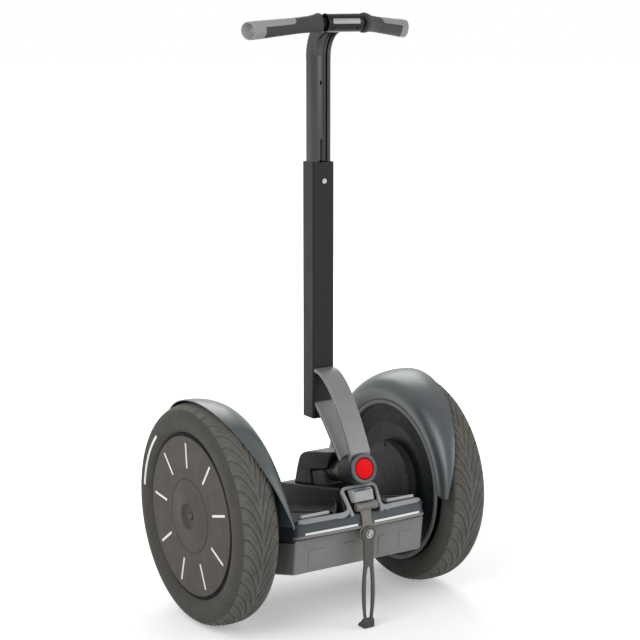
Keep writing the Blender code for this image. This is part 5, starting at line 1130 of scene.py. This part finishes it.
def make_pivot():
    """The barrel, its ring, the disc in the ring and the seat behind the disc, whose black is painted shade in the
    gap round the disc.
    """
    nose = ARM_NOSE
    barrel = [(0.0200, nose + 0.0045), (0.0300, nose + 0.0045), (0.0326, nose + 0.0055), (0.0332, nose + 0.0080),
              (0.0332, -0.182), (0.0322, -0.172), (0.0280, -0.155), (0.0252, -0.148), (0.0245, -0.142),
              (0.0245, -0.1138), (0.0235, -0.1127), (0.0120, -0.1127), (0.0120, nose + 0.0090)]
    piece("pivot_barrel", [on_pivot(barrel, 64)], barrel_metal, "lean", sharp=50)
    ring = soften([(0.0238, nose + 0.0044), (0.0238, nose + 0.0004), (0.0290, nose - 0.0004), (0.0318, nose + 0.0010),
                   (0.0326, nose + 0.0046)], 0.0012, 4)
    piece("pivot_ring", [on_pivot(ring)], ring_metal, "lean")
    disc = [(0, nose - 0.0008), (0.0120, nose - 0.0006), (0.0205, nose + 0.0001), (0.0214, nose + 0.0006),
            (0.0218, nose + 0.0014), (0.0218, nose + 0.0032), (0, nose + 0.0032)]
    piece("plain_disc", [on_pivot(disc)], red_enamel, "lean", ["medallion"])
    # The seat is a real shape, but its black is painted shade, seen in the gap between the disc and its ring.
    seat = [(0, nose + 0.0030), (0.0240, nose + 0.0026), (0.0240, nose + 0.0043), (0, nose + 0.0043)]
    return piece("shaded_disc_seat", [on_pivot(seat)], painted_shade_black, "lean")


def make_arm_screw():
    """A small bright screw in the front bar's edge."""
    head = [(0, 0.0012), (0.0020, 0.0011), (0.0028, 0.0006), (0.0030, -0.0010), (0, -0.0010)]
    return piece("arm_screw", [spun(head, (-0.0255, -0.1345, 0.2400), (-1, 0, 0), from_mast, 32)], steel, "lean")


make_arm()
make_pivot()
make_arm_screw()

# %% [markdown]
# The mast's sleeve is a tube of rectangular section with small round corners. It is a band
# between an outer and an inner outline, with its top and bottom edges rounded.

# %% Sleeve and height screw
mast_metal = finish("mast_metal", (16, 17, 18), 0.38, mottle=0.06, mottle_scale=7, grain=0.05, specular=0.24,
                    stretch=(1, 1, 0.4))
rail_metal = finish("rail_metal", (66, 66, 65), 0.2, metal=0.9, mottle=0.05, mottle_scale=7, grain=0.02,
                    rough_swing=0.03, stretch=(1, 1, 0.3))
SLEEVE_LOW, SLEEVE_HIGH = 0.1872, 0.7497


def make_sleeve():
    outer = rounded_box(SLEEVE_HALF_X, SLEEVE_HALF_Y, 0.0045, 6)
    inner = rounded_box(SLEEVE_HALF_X - SLEEVE_WALL, SLEEVE_HALF_Y - SLEEVE_WALL, 0.0021, 6)
    low, high, edge = SLEEVE_LOW, SLEEVE_HIGH, 0.0008
    ends = rounding(edge, 4)

    def ring(outline, height):
        return from_mast(np.column_stack([outline[:, 0], outline[:, 1] + MAST_Y, np.full(len(outline), height)]))
    rows = [ring(draw_in(outer, inset), low + rise) for inset, rise in ends]
    rows += [ring(outer, z) for z in np.linspace(low + 0.02, high - 0.02, 8)]
    rows += [ring(draw_in(outer, inset), high - drop) for inset, drop in ends[::-1]]
    rows += [ring(draw_in(inner, -0.6 * inset), high - drop) for inset, drop in ends]
    rows += [ring(inner, low + edge)]
    return piece("sleeve_tube", [skin(np.stack(rows), (True, True))], mast_metal, "lean",
                 ["mast_sleeve"], sharp=50)


def make_height_screw():
    face = 0.0003
    head = [(0, face + 0.0026), (0.0022, face + 0.0026), (0.0026, face + 0.0034), (0.0046, face + 0.0032),
            (0.0058, face + 0.0022), (0.0060, face), (0.0035, face), (0.0035, -0.0205), (0, -0.0205)]
    centre = (0, MAST_Y - SLEEVE_HALF_Y, 0.7090)
    return piece("height_screw_head", [spun(head, centre, (0, -1, 0), from_mast, 40)], steel, "lean",
                 ["height_screw"])


make_sleeve()
make_height_screw()

# %% [markdown]
# The inner mast is one extrusion: two round rails joined by a web with a groove down it. Its
# section runs up straight and then forward round the bend. The height slot and a small round
# hole go right through the web: the two middle points of the web part by the cut's width at
# each row, the faces between them are left out, and walls join front to back.

# %% Inner mast
RAIL_HALF_X, RAIL_HALF_Y, RAIL_INNER, WEB_HALF = 0.0239, 0.01925, 0.0109, 0.0115
GROOVE_FLOOR = WEB_HALF - 0.0014
MAST_FOOT, BEND_RADIUS, CLAMP_HEIGHT = 0.300, 0.0717, 1.0445
HOLES = ((0.8010, 0.6200, 0.0043), (0.9205, 0.9135, 0.0035))     # top, bottom, half width


def mast_section():
    """The right half from the front groove round a rail to the back groove, and the left half."""
    turn = np.radians(np.linspace(0, 90, 11))
    corner = np.stack([RAIL_HALF_X - 0.0085 * (1 - np.cos(turn)), RAIL_HALF_Y - 0.0125 * (1 - np.sin(turn))], -1)
    inside = arc((RAIL_INNER + 0.0040, RAIL_HALF_Y - 0.0040), 0.0040, 90, 180, 6)
    root = np.array([(RAIL_INNER - 0.0006, WEB_HALF + 0.0014), (RAIL_INNER - 0.0018, WEB_HALF)])
    groove = np.array([(0.0058, WEB_HALF), (0.0053, WEB_HALF - 0.0012), (0.0026, GROOVE_FLOOR)])
    quarter = np.concatenate([corner, inside, root, groove])
    right = np.concatenate([quarter[::-1] * (1, -1), quarter])
    return right, right[::-1] * (-1, 1)


def hole_half(length):
    """Half the width of the cut at a length along the mast: zero where there is none."""
    half = np.zeros_like(length)
    for high, low, r in HOLES:
        end = np.clip(np.maximum(low + r - length, length - (high - r)), 0, r)
        half = np.where((length >= low) & (length <= high), np.sqrt(np.clip(r * r - end * end, 0, None)), half)
    return half


def make_inner_mast():
    bend_start = CLAMP_HEIGHT - BEND_RADIUS
    stops = [np.linspace(MAST_FOOT, bend_start, 60)]
    for high, low, r in HOLES:
        turn = np.linspace(0, math.pi, 9)
        stops += [low + r - r * np.cos(turn[:5]), high - r - r * np.cos(turn[4:]),
                  [low - 0.0020, low - 0.0003, high + 0.0003, high + 0.0020]]
    bend = np.linspace(0, math.pi / 2, 30)[1:]
    length = np.concatenate([np.unique(np.round(np.concatenate(stops), 7)), bend_start + BEND_RADIUS * bend])
    turn = np.clip((length - bend_start) / BEND_RADIUS, 0, None)
    height = np.where(turn > 0, bend_start + BEND_RADIUS * np.sin(turn), length)
    forward = BEND_RADIUS * (1 - np.cos(turn))
    right, left = mast_section()
    half = hole_half(length)[:, None]

    def rows(section_x, section_y):
        """Carries (X, Y) of the section to each stop, turned with the bend."""
        y = MAST_Y - forward[:, None] + section_y * np.cos(turn)[:, None]
        z = height[:, None] + section_y * np.sin(turn)[:, None]
        return np.stack([np.broadcast_to(section_x, y.shape), y, z], -1)
    points = np.concatenate([rows(half, -GROOVE_FLOOR), rows(right[None, :, 0], right[None, :, 1]),
                             rows(half, GROOVE_FLOOR), rows(-half, GROOVE_FLOOR),
                             rows(left[None, :, 0], left[None, :, 1]), rows(-half, -GROOVE_FLOOR)], 1)
    flat, faces = skin(from_mast(points), (False, True), (True, True))
    columns = points.shape[1]
    front_r, back_r = 0, len(right) + 1
    back_l, front_l = back_r + 1, columns - 1
    cut = set()
    walls = []
    open_row = (half[:-1, 0] > 0) | (half[1:, 0] > 0)
    for row in np.nonzero(open_row)[0]:
        base, above = row * columns, (row + 1) * columns
        for pair in ((front_r, front_l), (back_r, back_l)):
            cut.add(frozenset((base + pair[0], base + pair[1], above + pair[0], above + pair[1])))
        walls.append([base + front_r, above + front_r, above + back_r, base + back_r])
        walls.append([base + front_l, base + back_l, above + back_l, above + front_l])
    faces = [face for face in faces if frozenset(face) not in cut]
    probe = walls[0]
    towards = np.cross(flat[probe[1]] - flat[probe[0]], flat[probe[3]] - flat[probe[0]])[0]
    walls = walls if towards < 0 else [wall[::-1] for wall in walls]
    return piece("inner_mast_rails", [(flat, faces + walls)], rail_metal, "bar", ["inner_mast"],
                 sharp=50)


make_inner_mast()

# %% [markdown]
# The clamp is a glossy black barrel with a plain bright strip let into its front and two small
# screws below it. The bar inside it bends once on each side, and a grip slides over each end.

# %% Clamp and handlebar
clamp_plastic = finish("clamp_plastic", (8, 8, 10), 0.2, mottle=0.05, grain=0.0, specular=0.25)
strip_metal = finish("strip_metal", (150, 150, 148), 0.34, metal=0.3, mottle=0.04, grain=0.03, stretch=(0.3, 1, 1))
CLAMP_RADIUS, CLAMP_HALF, CLAMP_BORE = 0.0195, 0.0430, 0.0112
CLAMP = np.array([0.0, MAST_Y - BEND_RADIUS - CLAMP_RADIUS, CLAMP_HEIGHT])
CLAMP_STRIP_HALF, CLAMP_SCREW_X, CLAMP_SCREW_TURN = 0.033, 0.030, math.radians(-38)
BAR_TIP = np.array([0.2060, -0.0660, 1.0275])
BAR_RADIUS = 0.011


def make_clamp():
    corners = [(CLAMP_RADIUS, CLAMP_HALF), (CLAMP_RADIUS, -CLAMP_HALF), (CLAMP_BORE, -CLAMP_HALF),
               (CLAMP_BORE, CLAMP_HALF)]
    skins = [spun(soften(corners, 0.0016, 5), CLAMP, (1, 0, 0), from_mast, 96)]
    lug = [(0, 0.0012), (0.0018, 0.0012), (0.0022, 0.0020), (0.0036, 0.0018), (0.0042, 0.0002),
           (0.0042, -0.004), (0, -0.004)]
    out = np.array([0, -math.cos(CLAMP_SCREW_TURN), math.sin(CLAMP_SCREW_TURN)])
    for x in (-CLAMP_SCREW_X, CLAMP_SCREW_X):
        skins.append(spun(lug, CLAMP + (x, 0, 0) + out * (CLAMP_RADIUS - 0.0002), out, from_mast, 28))
    return piece("clamp_barrel", skins, clamp_plastic, "bar", ["handlebar_clamp"])


def make_clamp_strip():
    """A patch of the barrel's surface, lifted a little. Angles run from level ahead, upwards."""
    angle = np.radians(np.linspace(-6, 26, 17))
    ray = np.stack([np.cos(angle), np.sin(angle)], -1)
    loop = np.concatenate([ray * (CLAMP_RADIUS + 0.0004), ray[::-1] * (CLAMP_RADIUS - 0.0010)])
    rows = [np.column_stack([np.full(len(loop), x), CLAMP[1] - loop[:, 0], CLAMP[2] + loop[:, 1]])
            for x in np.linspace(-CLAMP_STRIP_HALF, CLAMP_STRIP_HALF, 5)]
    return piece("clamp_strip", [loft(rows, from_mast)], strip_metal, "bar")


def bar_spot(side, share):
    """A point on the bar's outer run, from where it leaves the clamp (0) to its tip (1)."""
    start = CLAMP + (side * 0.0475, 0, 0)
    return start + (BAR_TIP * (side, 1, 1) - start) * share


def make_handlebar():
    shares = (0.06, 0.2, 0.5, 0.70)
    knots = [bar_spot(-1, s) for s in shares[::-1]] + [CLAMP + (x, 0, 0) for x in (-0.030, 0.0, 0.030)]
    path = through(knots + [bar_spot(1, s) for s in shares], 81)
    circle = arc((0, 0), BAR_RADIUS, 0, 345, 23)
    return piece("bent_bar", [swept(circle, path, (0, 0, 1), from_mast)], mast_metal, "bar",
                 ["handlebar"])


make_clamp()
make_clamp_strip()
make_handlebar()

# %% [markdown]
# A grip is turned about the bar's outer run: a flared collar, a waist, a fuller palm and a tip
# that is cut off at a slant and hollow. Lighter rubber makes the tip, and a strip of it runs
# back along the upper front of the palm.

# %% Grips
grip_rubber = finish("grip_rubber", (62, 62, 61), 0.6, mottle=0.07, grain=0.14, grain_scale=1100, specular=0.3)
grip_light = finish("grip_light", (146, 148, 145), 0.55, mottle=0.05, grain=0.10, grain_scale=1100, specular=0.35)
GRIP_START, GRIP_BORE, PALM_RADIUS, PALM_SHARE = 0.0025, 0.0114, 0.0190, 0.86
SLANT = math.tan(math.radians(32))
SLANT_START, SLANT_RUN = 0.55, 0.35              # shares of the grip's length
INLAY_START, INLAY_END_RUN = 0.33, 0.05
INLAY_HALF, INLAY_TURN = math.radians(32), math.radians(48)
GRIP_SHAPE = np.array([(0.0, 0.0204), (0.03, 0.0212), (0.06, 0.0208), (0.10, 0.0186), (0.18, 0.0170),
                       (0.30, 0.0166), (0.50, 0.0174), (0.70, 0.0182), (0.88, 0.0189), (1.0, PALM_RADIUS)])


def grip_frame(side):
    """Where the grip starts, its three directions (along, front, up or down) and its length."""
    start, tip = bar_spot(side, 0), bar_spot(side, 1)
    along = unit(tip - start)
    front = unit(np.array([0, -1.0, 0]) + along * along[1])
    return start, along, front, np.cross(along, front), np.linalg.norm(tip - start)


def grip_radius(share):
    return np.interp(share, GRIP_SHAPE[:, 0], GRIP_SHAPE[:, 1])


def grip_height(share, length):
    return GRIP_START + share * (length - GRIP_START)


def grip_slant(height, length):
    """How much of the tip's slant a row takes: none in the palm, all of it at the tip."""
    return smoothstep((height - SLANT_START * length) / (SLANT_RUN * length))


def grip_points(side, radius, height, angle):
    """Rows of points round the bar, with each row's plane tilted by its own share of the slant."""
    start, along, front, other, length = grip_frame(side)
    lean = height - grip_slant(height, length) * SLANT * (np.cos(angle) + 1) * radius
    return (start + along * lean[..., None] + front * (radius * np.cos(angle))[..., None]
            + other * (radius * np.sin(angle))[..., None])


def grip_skin(side, radius, height, wrap):
    """A (radius, height) profile turned about the bar."""
    angle = np.arange(64) * 2 * math.pi / 64
    return skin(from_mast(grip_points(side, np.array(radius)[:, None], np.array(height)[:, None], angle)), wrap)


def make_grip(side, name):
    share = np.concatenate([[0.0, 0.004, 0.012], np.linspace(0.03, PALM_SHARE, 40)])
    height = grip_height(share, grip_frame(side)[4])
    radius = np.concatenate([(PALM_RADIUS, 0.0198, 0.0204), grip_radius(share[3:]),
                             [grip_radius(PALM_SHARE) - 0.0004, GRIP_BORE, GRIP_BORE]])
    height = np.concatenate([height, [height[-1] + 0.0003, height[-1] + 0.0003, GRIP_START]])
    return piece(name, [grip_skin(side, radius, height, (True, True))], grip_rubber, "bar",
                 [f"{side_name(side)}_grip"], sharp=50)


def make_grip_tip(side, name):
    """The light tip: from its closed floor round the hollow to the rim, back outside and shut."""
    length = grip_frame(side)[4]
    palm = grip_height(PALM_SHARE, length)
    shape = [(0.0, palm + 0.0030), (0.0148, palm + 0.0040), (0.0152, length - 0.0060), (0.0156, length - 0.0020),
             (0.0166, length - 0.0004), (0.0178, length - 0.0002), (0.0188, length - 0.0012),
             (0.0191, length - 0.0030), (PALM_RADIUS, palm + 0.010),
             (grip_radius(PALM_SHARE) + 0.0003, palm + 0.0004), (GRIP_BORE, palm + 0.0004), (0.0, palm + 0.0004)]
    radius, height = zip(*shape)
    return piece(name, [grip_skin(side, radius, height, (False, True))], grip_light, "bar", sharp=50)


def make_inlay(side, name):
    """A strip of the palm's surface lifted by half a millimetre, with a round inner end."""
    length = grip_frame(side)[4]
    up = np.sign(grip_frame(side)[3][2])
    closing = INLAY_START + INLAY_END_RUN * (1 - np.cos(np.linspace(0.12, math.pi / 2, 8)))
    share = np.concatenate([closing, np.linspace(0.39, PALM_SHARE, 20)])
    round_end = INLAY_START + INLAY_END_RUN
    left = (round_end - np.minimum(share, round_end)) / INLAY_END_RUN
    wide = INLAY_HALF * np.sqrt(np.clip(1 - left ** 2, 0.02, 1))
    turn = np.linspace(-1, 1, 15)
    lift = np.concatenate([0.0006 - 0.0006 * turn ** 8, np.full(15, -0.0012)])
    angle = up * (INLAY_TURN + wide[:, None] * np.concatenate([turn, turn[::-1]]))
    points = grip_points(side, grip_radius(share)[:, None] + lift, grip_height(share, length)[:, None], angle)
    return piece(name, [loft(points, from_mast)], grip_light, "bar")


both_sides(grip_sleeve=make_grip, grip_tip=make_grip_tip, grip_inlay=make_inlay)

# %% [markdown]
# The stand: a tee, a plate and a boss with its bolt under the nose, a leg that splits into two
# bowed prongs, and a rubber foot. The leg is one band between its outline and its slot.

# %% Stand
stand_metal = finish("stand_metal", (80, 78, 75), 0.42, metal=0.3, mottle=0.07, grain=0.10)
bracket_metal = finish("bracket_metal", (112, 109, 105), 0.42, metal=0.3, mottle=0.07, grain=0.10)
foot_rubber = finish("foot_rubber", (74, 72, 69), 0.6, mottle=0.08, grain=0.10, specular=0.3)
NOSE_PLATE_Y = -0.2099
BOLT_FACE = 0.0036
LEG_TOP, LEG_FOOT, LEG_HALF = -0.0100, -0.2010, 0.00325
FORK_TOP, FORK_FOOT, FORK_HALF, FORK_BOW = -0.0720, -0.1985, 0.0082, 0.0043


def round_bolt(profile, steps, towards=1):
    """Turned about the stand's bolt, which runs front to back."""
    return spun(profile, (0, 0, 0), (0, towards, 0), from_stand, steps)


def make_bracket():
    """A tee under the nose, the plate that comes down from it, and the boss round the bolt."""
    half_tee = [(0.0080, 0.0150), (0.0090, 0.0190), (0.0092, 0.0240), (0.0084, 0.0262), (0.0062, 0.0275), (0, 0.0275)]
    tee = np.concatenate([np.array(half_tee)[::-1] * (1, -1), half_tee])
    outline = soften([(-0.0160, -0.0890), (-0.0120, -0.0600), (-0.0120, -0.0440), (-0.0190, -0.0300),
                      (0.0190, -0.0300), (0.0120, -0.0440), (0.0120, -0.0600), (0.0160, -0.0890)], 0.006, 5)
    boss = [(0, 0.0038), (0.0165, 0.0038), (0.0182, 0.0052), (0.0185, 0.0070), (0.0185, 0.0138),
            (0.0172, 0.0145), (0, 0.0145)]
    skins = [spun(tee, (0, -0.2185, -0.0285), (1, 0, 0), from_base, 48),
             slab(outline, NOSE_PLATE_Y - 0.0056, NOSE_PLATE_Y, 0.0018, flat_on("Y", from_base), 4),
             round_bolt(boss, 64)]
    return piece("stand_tee", skins, bracket_metal, "base", ["stand_bracket"], sharp=45)


def make_bolt():
    """Both profiles are heights above the boss's face: the washer's, and the head's with its socket."""
    washer = [(0, 0), (0.0094, 0), (0.0098, 0.0004), (0.0096, 0.0013), (0, 0.0013)]
    head = [(0, 0.0013), (0.0066, 0.0013), (0.0070, 0.0022), (0.0065, 0.0052), (0.0054, 0.0060), (0.0036, 0.0060),
            (0.0032, 0.0040), (0, 0.0038)]
    skins = [round_bolt(np.array(profile) + (0, BOLT_FACE), 48, -1) for profile in (washer, head)]
    return piece("bolt_head", skins, steel, "base", ["stand_bolt"])


def make_leg():
    """Matched lists for the leg's outline and its slot: down the left, up the right, and round
    the top, where the slot's points all meet in its upper end. The prongs bow out by a sine."""
    z = np.linspace(LEG_TOP, LEG_FOOT, 40)
    share = np.clip((FORK_TOP - z) / 0.1180, 0, 1)
    side_x = np.where(z > FORK_TOP, np.interp(z, [FORK_TOP, -0.030, LEG_TOP], [0.0118, 0.0122, 0.0124]),
                      0.0118 - 0.0008 * share + FORK_BOW * np.sin(np.pi * share))
    hub = arc((0, -0.0085), 0.0124, 0, 180, 16)
    slot_z = np.interp(z, [z[-1], z[0]], [FORK_FOOT, FORK_TOP])
    slot_share = (slot_z - (FORK_TOP + FORK_FOOT) / 2) / ((FORK_TOP - FORK_FOOT) / 2)
    slot_x = FORK_HALF * np.sqrt(np.clip(1 - np.abs(slot_share) ** 2.6, 0.0, 1)) ** 0.8
    left, slot = np.stack([-side_x, z], -1), np.stack([-slot_x, slot_z], -1)
    outer = np.concatenate([left, left[::-1] * (-1, 1), hub])
    inner = np.concatenate([slot, slot[::-1] * (-1, 1), np.repeat([[0.0, FORK_TOP]], len(hub), 0)])
    place, half, ends = flat_on("Y", from_stand), LEG_HALF, rounding(0.0012, 4)
    rows = [place(draw_in(outer, inset), -half + rise) for inset, rise in ends]
    rows += [place(draw_in(outer, inset), half - drop) for inset, drop in ends[::-1]]
    rows += [place(inner, half), place(inner, -half)]
    eye = soften([(0.0040, -0.0034), (0.0175, -0.0034), (0.0175, 0.0034), (0.0040, 0.0034)],
                 [0.0004, 0.0014, 0.0014, 0.0004], 4)
    return piece("forked_leg", [skin(np.stack(rows), (True, True)), round_bolt(eye, 64)],
                 stand_metal, "stand", ["stand_leg"], sharp=45)


def make_foot():
    outline = soften([(-0.0062, -0.2126), (0.0200, -0.2126), (0.0215, -0.2080), (0.0085, -0.1975), (0.0048, -0.1912),
                      (-0.0048, -0.1912), (-0.0066, -0.1990)], [0.005, 0.004, 0.004, 0.007, 0.004, 0.004, 0.008], 6)
    return piece("rubber_foot", [slab(outline, -0.0140, 0.0140, 0.0038, flat_on("X", from_stand), 7)], foot_rubber,
                 "stand", ["stand_foot"], sharp=50)


make_bracket()
make_bolt()
make_leg()
make_foot()

# %% [markdown]
# What is left of the CAD model shows only through gaps or from below: the chassis, the motors
# and gears, the boards and the pivot's bush. Each keeps its solid and gets its finish.

# %% Finishes of the solids that stay
board_green = finish("board_green", (28, 86, 50), 0.45, mottle=0.15, specular=0.4)
bush_rubber = finish("bush_rubber", (30, 30, 30), 0.7, specular=0.2)
dressed = {made.name.split(".")[0]: made
           for made in (cast_metal, motor_metal, steel, board_green, bush_rubber, cover_plastic)}
for name, node in sorted(nodes.items()):
    for slot in node.material_slots:
        if slot.material and slot.material.name.split(".")[0] in dressed:
            slot.material = dressed[slot.material.name.split(".")[0]]
print("solids dressed:", len(nodes))

# %% [markdown]
# The studio is plain: a pale floor, a pale surround and three soft lamps. The surround shows
# white behind the machine and in its gloss, and it lights dull surfaces a little less, so that
# the lamps can model the forms. The camera stands where the photograph was taken from.

# %% Studio and camera
FLOOR_RADIUS = 30.0
AIM = Vector((0, 0, 0.45))                       # what the lamps point at
LAMPS = (("key_lamp", (-3.2, -1.6, 3.1), 2.6, 75), ("fill_lamp", (2.9, -3.0, 1.9), 2.2, 34),
         ("back_lamp", (1.2, 2.9, 3.0), 2.4, 60))   # name, place, width in metres, watts
DULL_LIGHT = 0.50                                # the surround's strength on dull surfaces
AZIMUTH, ELEVATION = math.radians(-32.5), math.radians(11.15)
DISTANCE, FOCAL_PIXELS, PHOTO_PIXELS, SENSOR = 3.6963, 1678.0, 640, 36
CENTRE_ACROSS, CENTRE_HEIGHT = 0.0190, 0.6400    # the point in the middle of the picture


def camera_rays(tree):
    """1 for rays of the camera and those seen in gloss or through glass, 0 for dull light."""
    path = add_node(tree, "LightPath", {})
    total = path.outputs["Is Camera Ray"]
    for kind in ("Is Glossy Ray", "Is Transmission Ray"):
        total = add_node(tree, "Math", {0: total, 1: path.outputs[kind]}, operation="MAXIMUM").outputs[0]
    return total


def make_floor():
    """A wide white disc. The camera sees it glow, more so with distance from the machine."""
    points, wrap = turned([(0, -0.012), (FLOOR_RADIUS, -0.012), (FLOOR_RADIUS, -0.0002), (0, -0.0002)], 96)
    flat, faces = skin(points, wrap)
    data = bpy.data.meshes.new("studio_floor")
    data.from_pydata(flat.tolist(), [], faces)
    floor = put("studio_floor", data)
    white, tree, shader = new_material("floor_white")
    for socket, value in (("Base Color", (0.93, 0.93, 0.93, 1)), ("Roughness", 0.9), ("Specular IOR Level", 0.0)):
        feed(shader.inputs[socket], value)
    place = add_node(tree, "TexCoord", {}).outputs["Object"]
    reach = add_node(tree, "VectorMath", {0: place}, operation="LENGTH").outputs["Value"]
    fade = add_node(tree, "MapRange", {"Value": reach, "From Min": 0.6, "From Max": 3.5, "To Min": 0.32,
                                       "To Max": 1.0})
    seen = add_node(tree, "Math", {0: fade.outputs["Result"], 1: camera_rays(tree)}, operation="MULTIPLY").outputs[0]
    glow = add_node(tree, "Emission", {"Strength": seen}).outputs[0]
    both = add_node(tree, "AddShader", {0: shader.outputs[0], 1: glow}).outputs[0]
    feed(tree.nodes["Material Output"].inputs["Surface"], both)
    data.materials.append(white)
    return floor


def make_surround(dull_light):
    world = bpy.data.worlds.new("studio")
    bpy.context.scene.world = world
    world.use_nodes = True
    tree = world.node_tree
    strength = add_node(tree, "MapRange", {"Value": camera_rays(tree), "To Min": dull_light, "To Max": 1.0})
    feed(tree.nodes["Background"].inputs["Color"], (1, 1, 1, 1))
    feed(tree.nodes["Background"].inputs["Strength"], strength.outputs["Result"])


def make_lamp(name, place, size, power):
    light = bpy.data.lights.new(name, "AREA")
    light.shape, light.size, light.energy = "SQUARE", size, power
    lamp = put(name, light)
    lamp.location = place
    lamp.rotation_euler = (AIM - Vector(place)).to_track_quat("-Z", "Y").to_euler()


def make_camera():
    """It looks from the photograph's azimuth, elevation and distance at the picture's middle."""
    back = Vector((math.sin(AZIMUTH) * math.cos(ELEVATION), -math.cos(AZIMUTH) * math.cos(ELEVATION),
                   math.sin(ELEVATION)))
    across = Vector((math.cos(AZIMUTH), math.sin(AZIMUTH), 0))
    view = bpy.data.cameras.new("camera")
    view.sensor_width, view.lens = SENSOR, FOCAL_PIXELS / PHOTO_PIXELS * SENSOR
    camera = put("camera", view)
    camera.location = across * CENTRE_ACROSS + Vector((0, 0, CENTRE_HEIGHT)) + back * DISTANCE
    camera.rotation_euler = (-back).to_track_quat("-Z", "Y").to_euler()
    bpy.context.scene.camera = camera
    print("camera at", [round(c, 4) for c in camera.location], "lens", round(view.lens, 2))


make_floor()
make_surround(DULL_LIGHT)
for lamp in LAMPS:
    make_lamp(*lamp)
make_camera()
bpy.context.scene.view_settings.view_transform = "Standard"
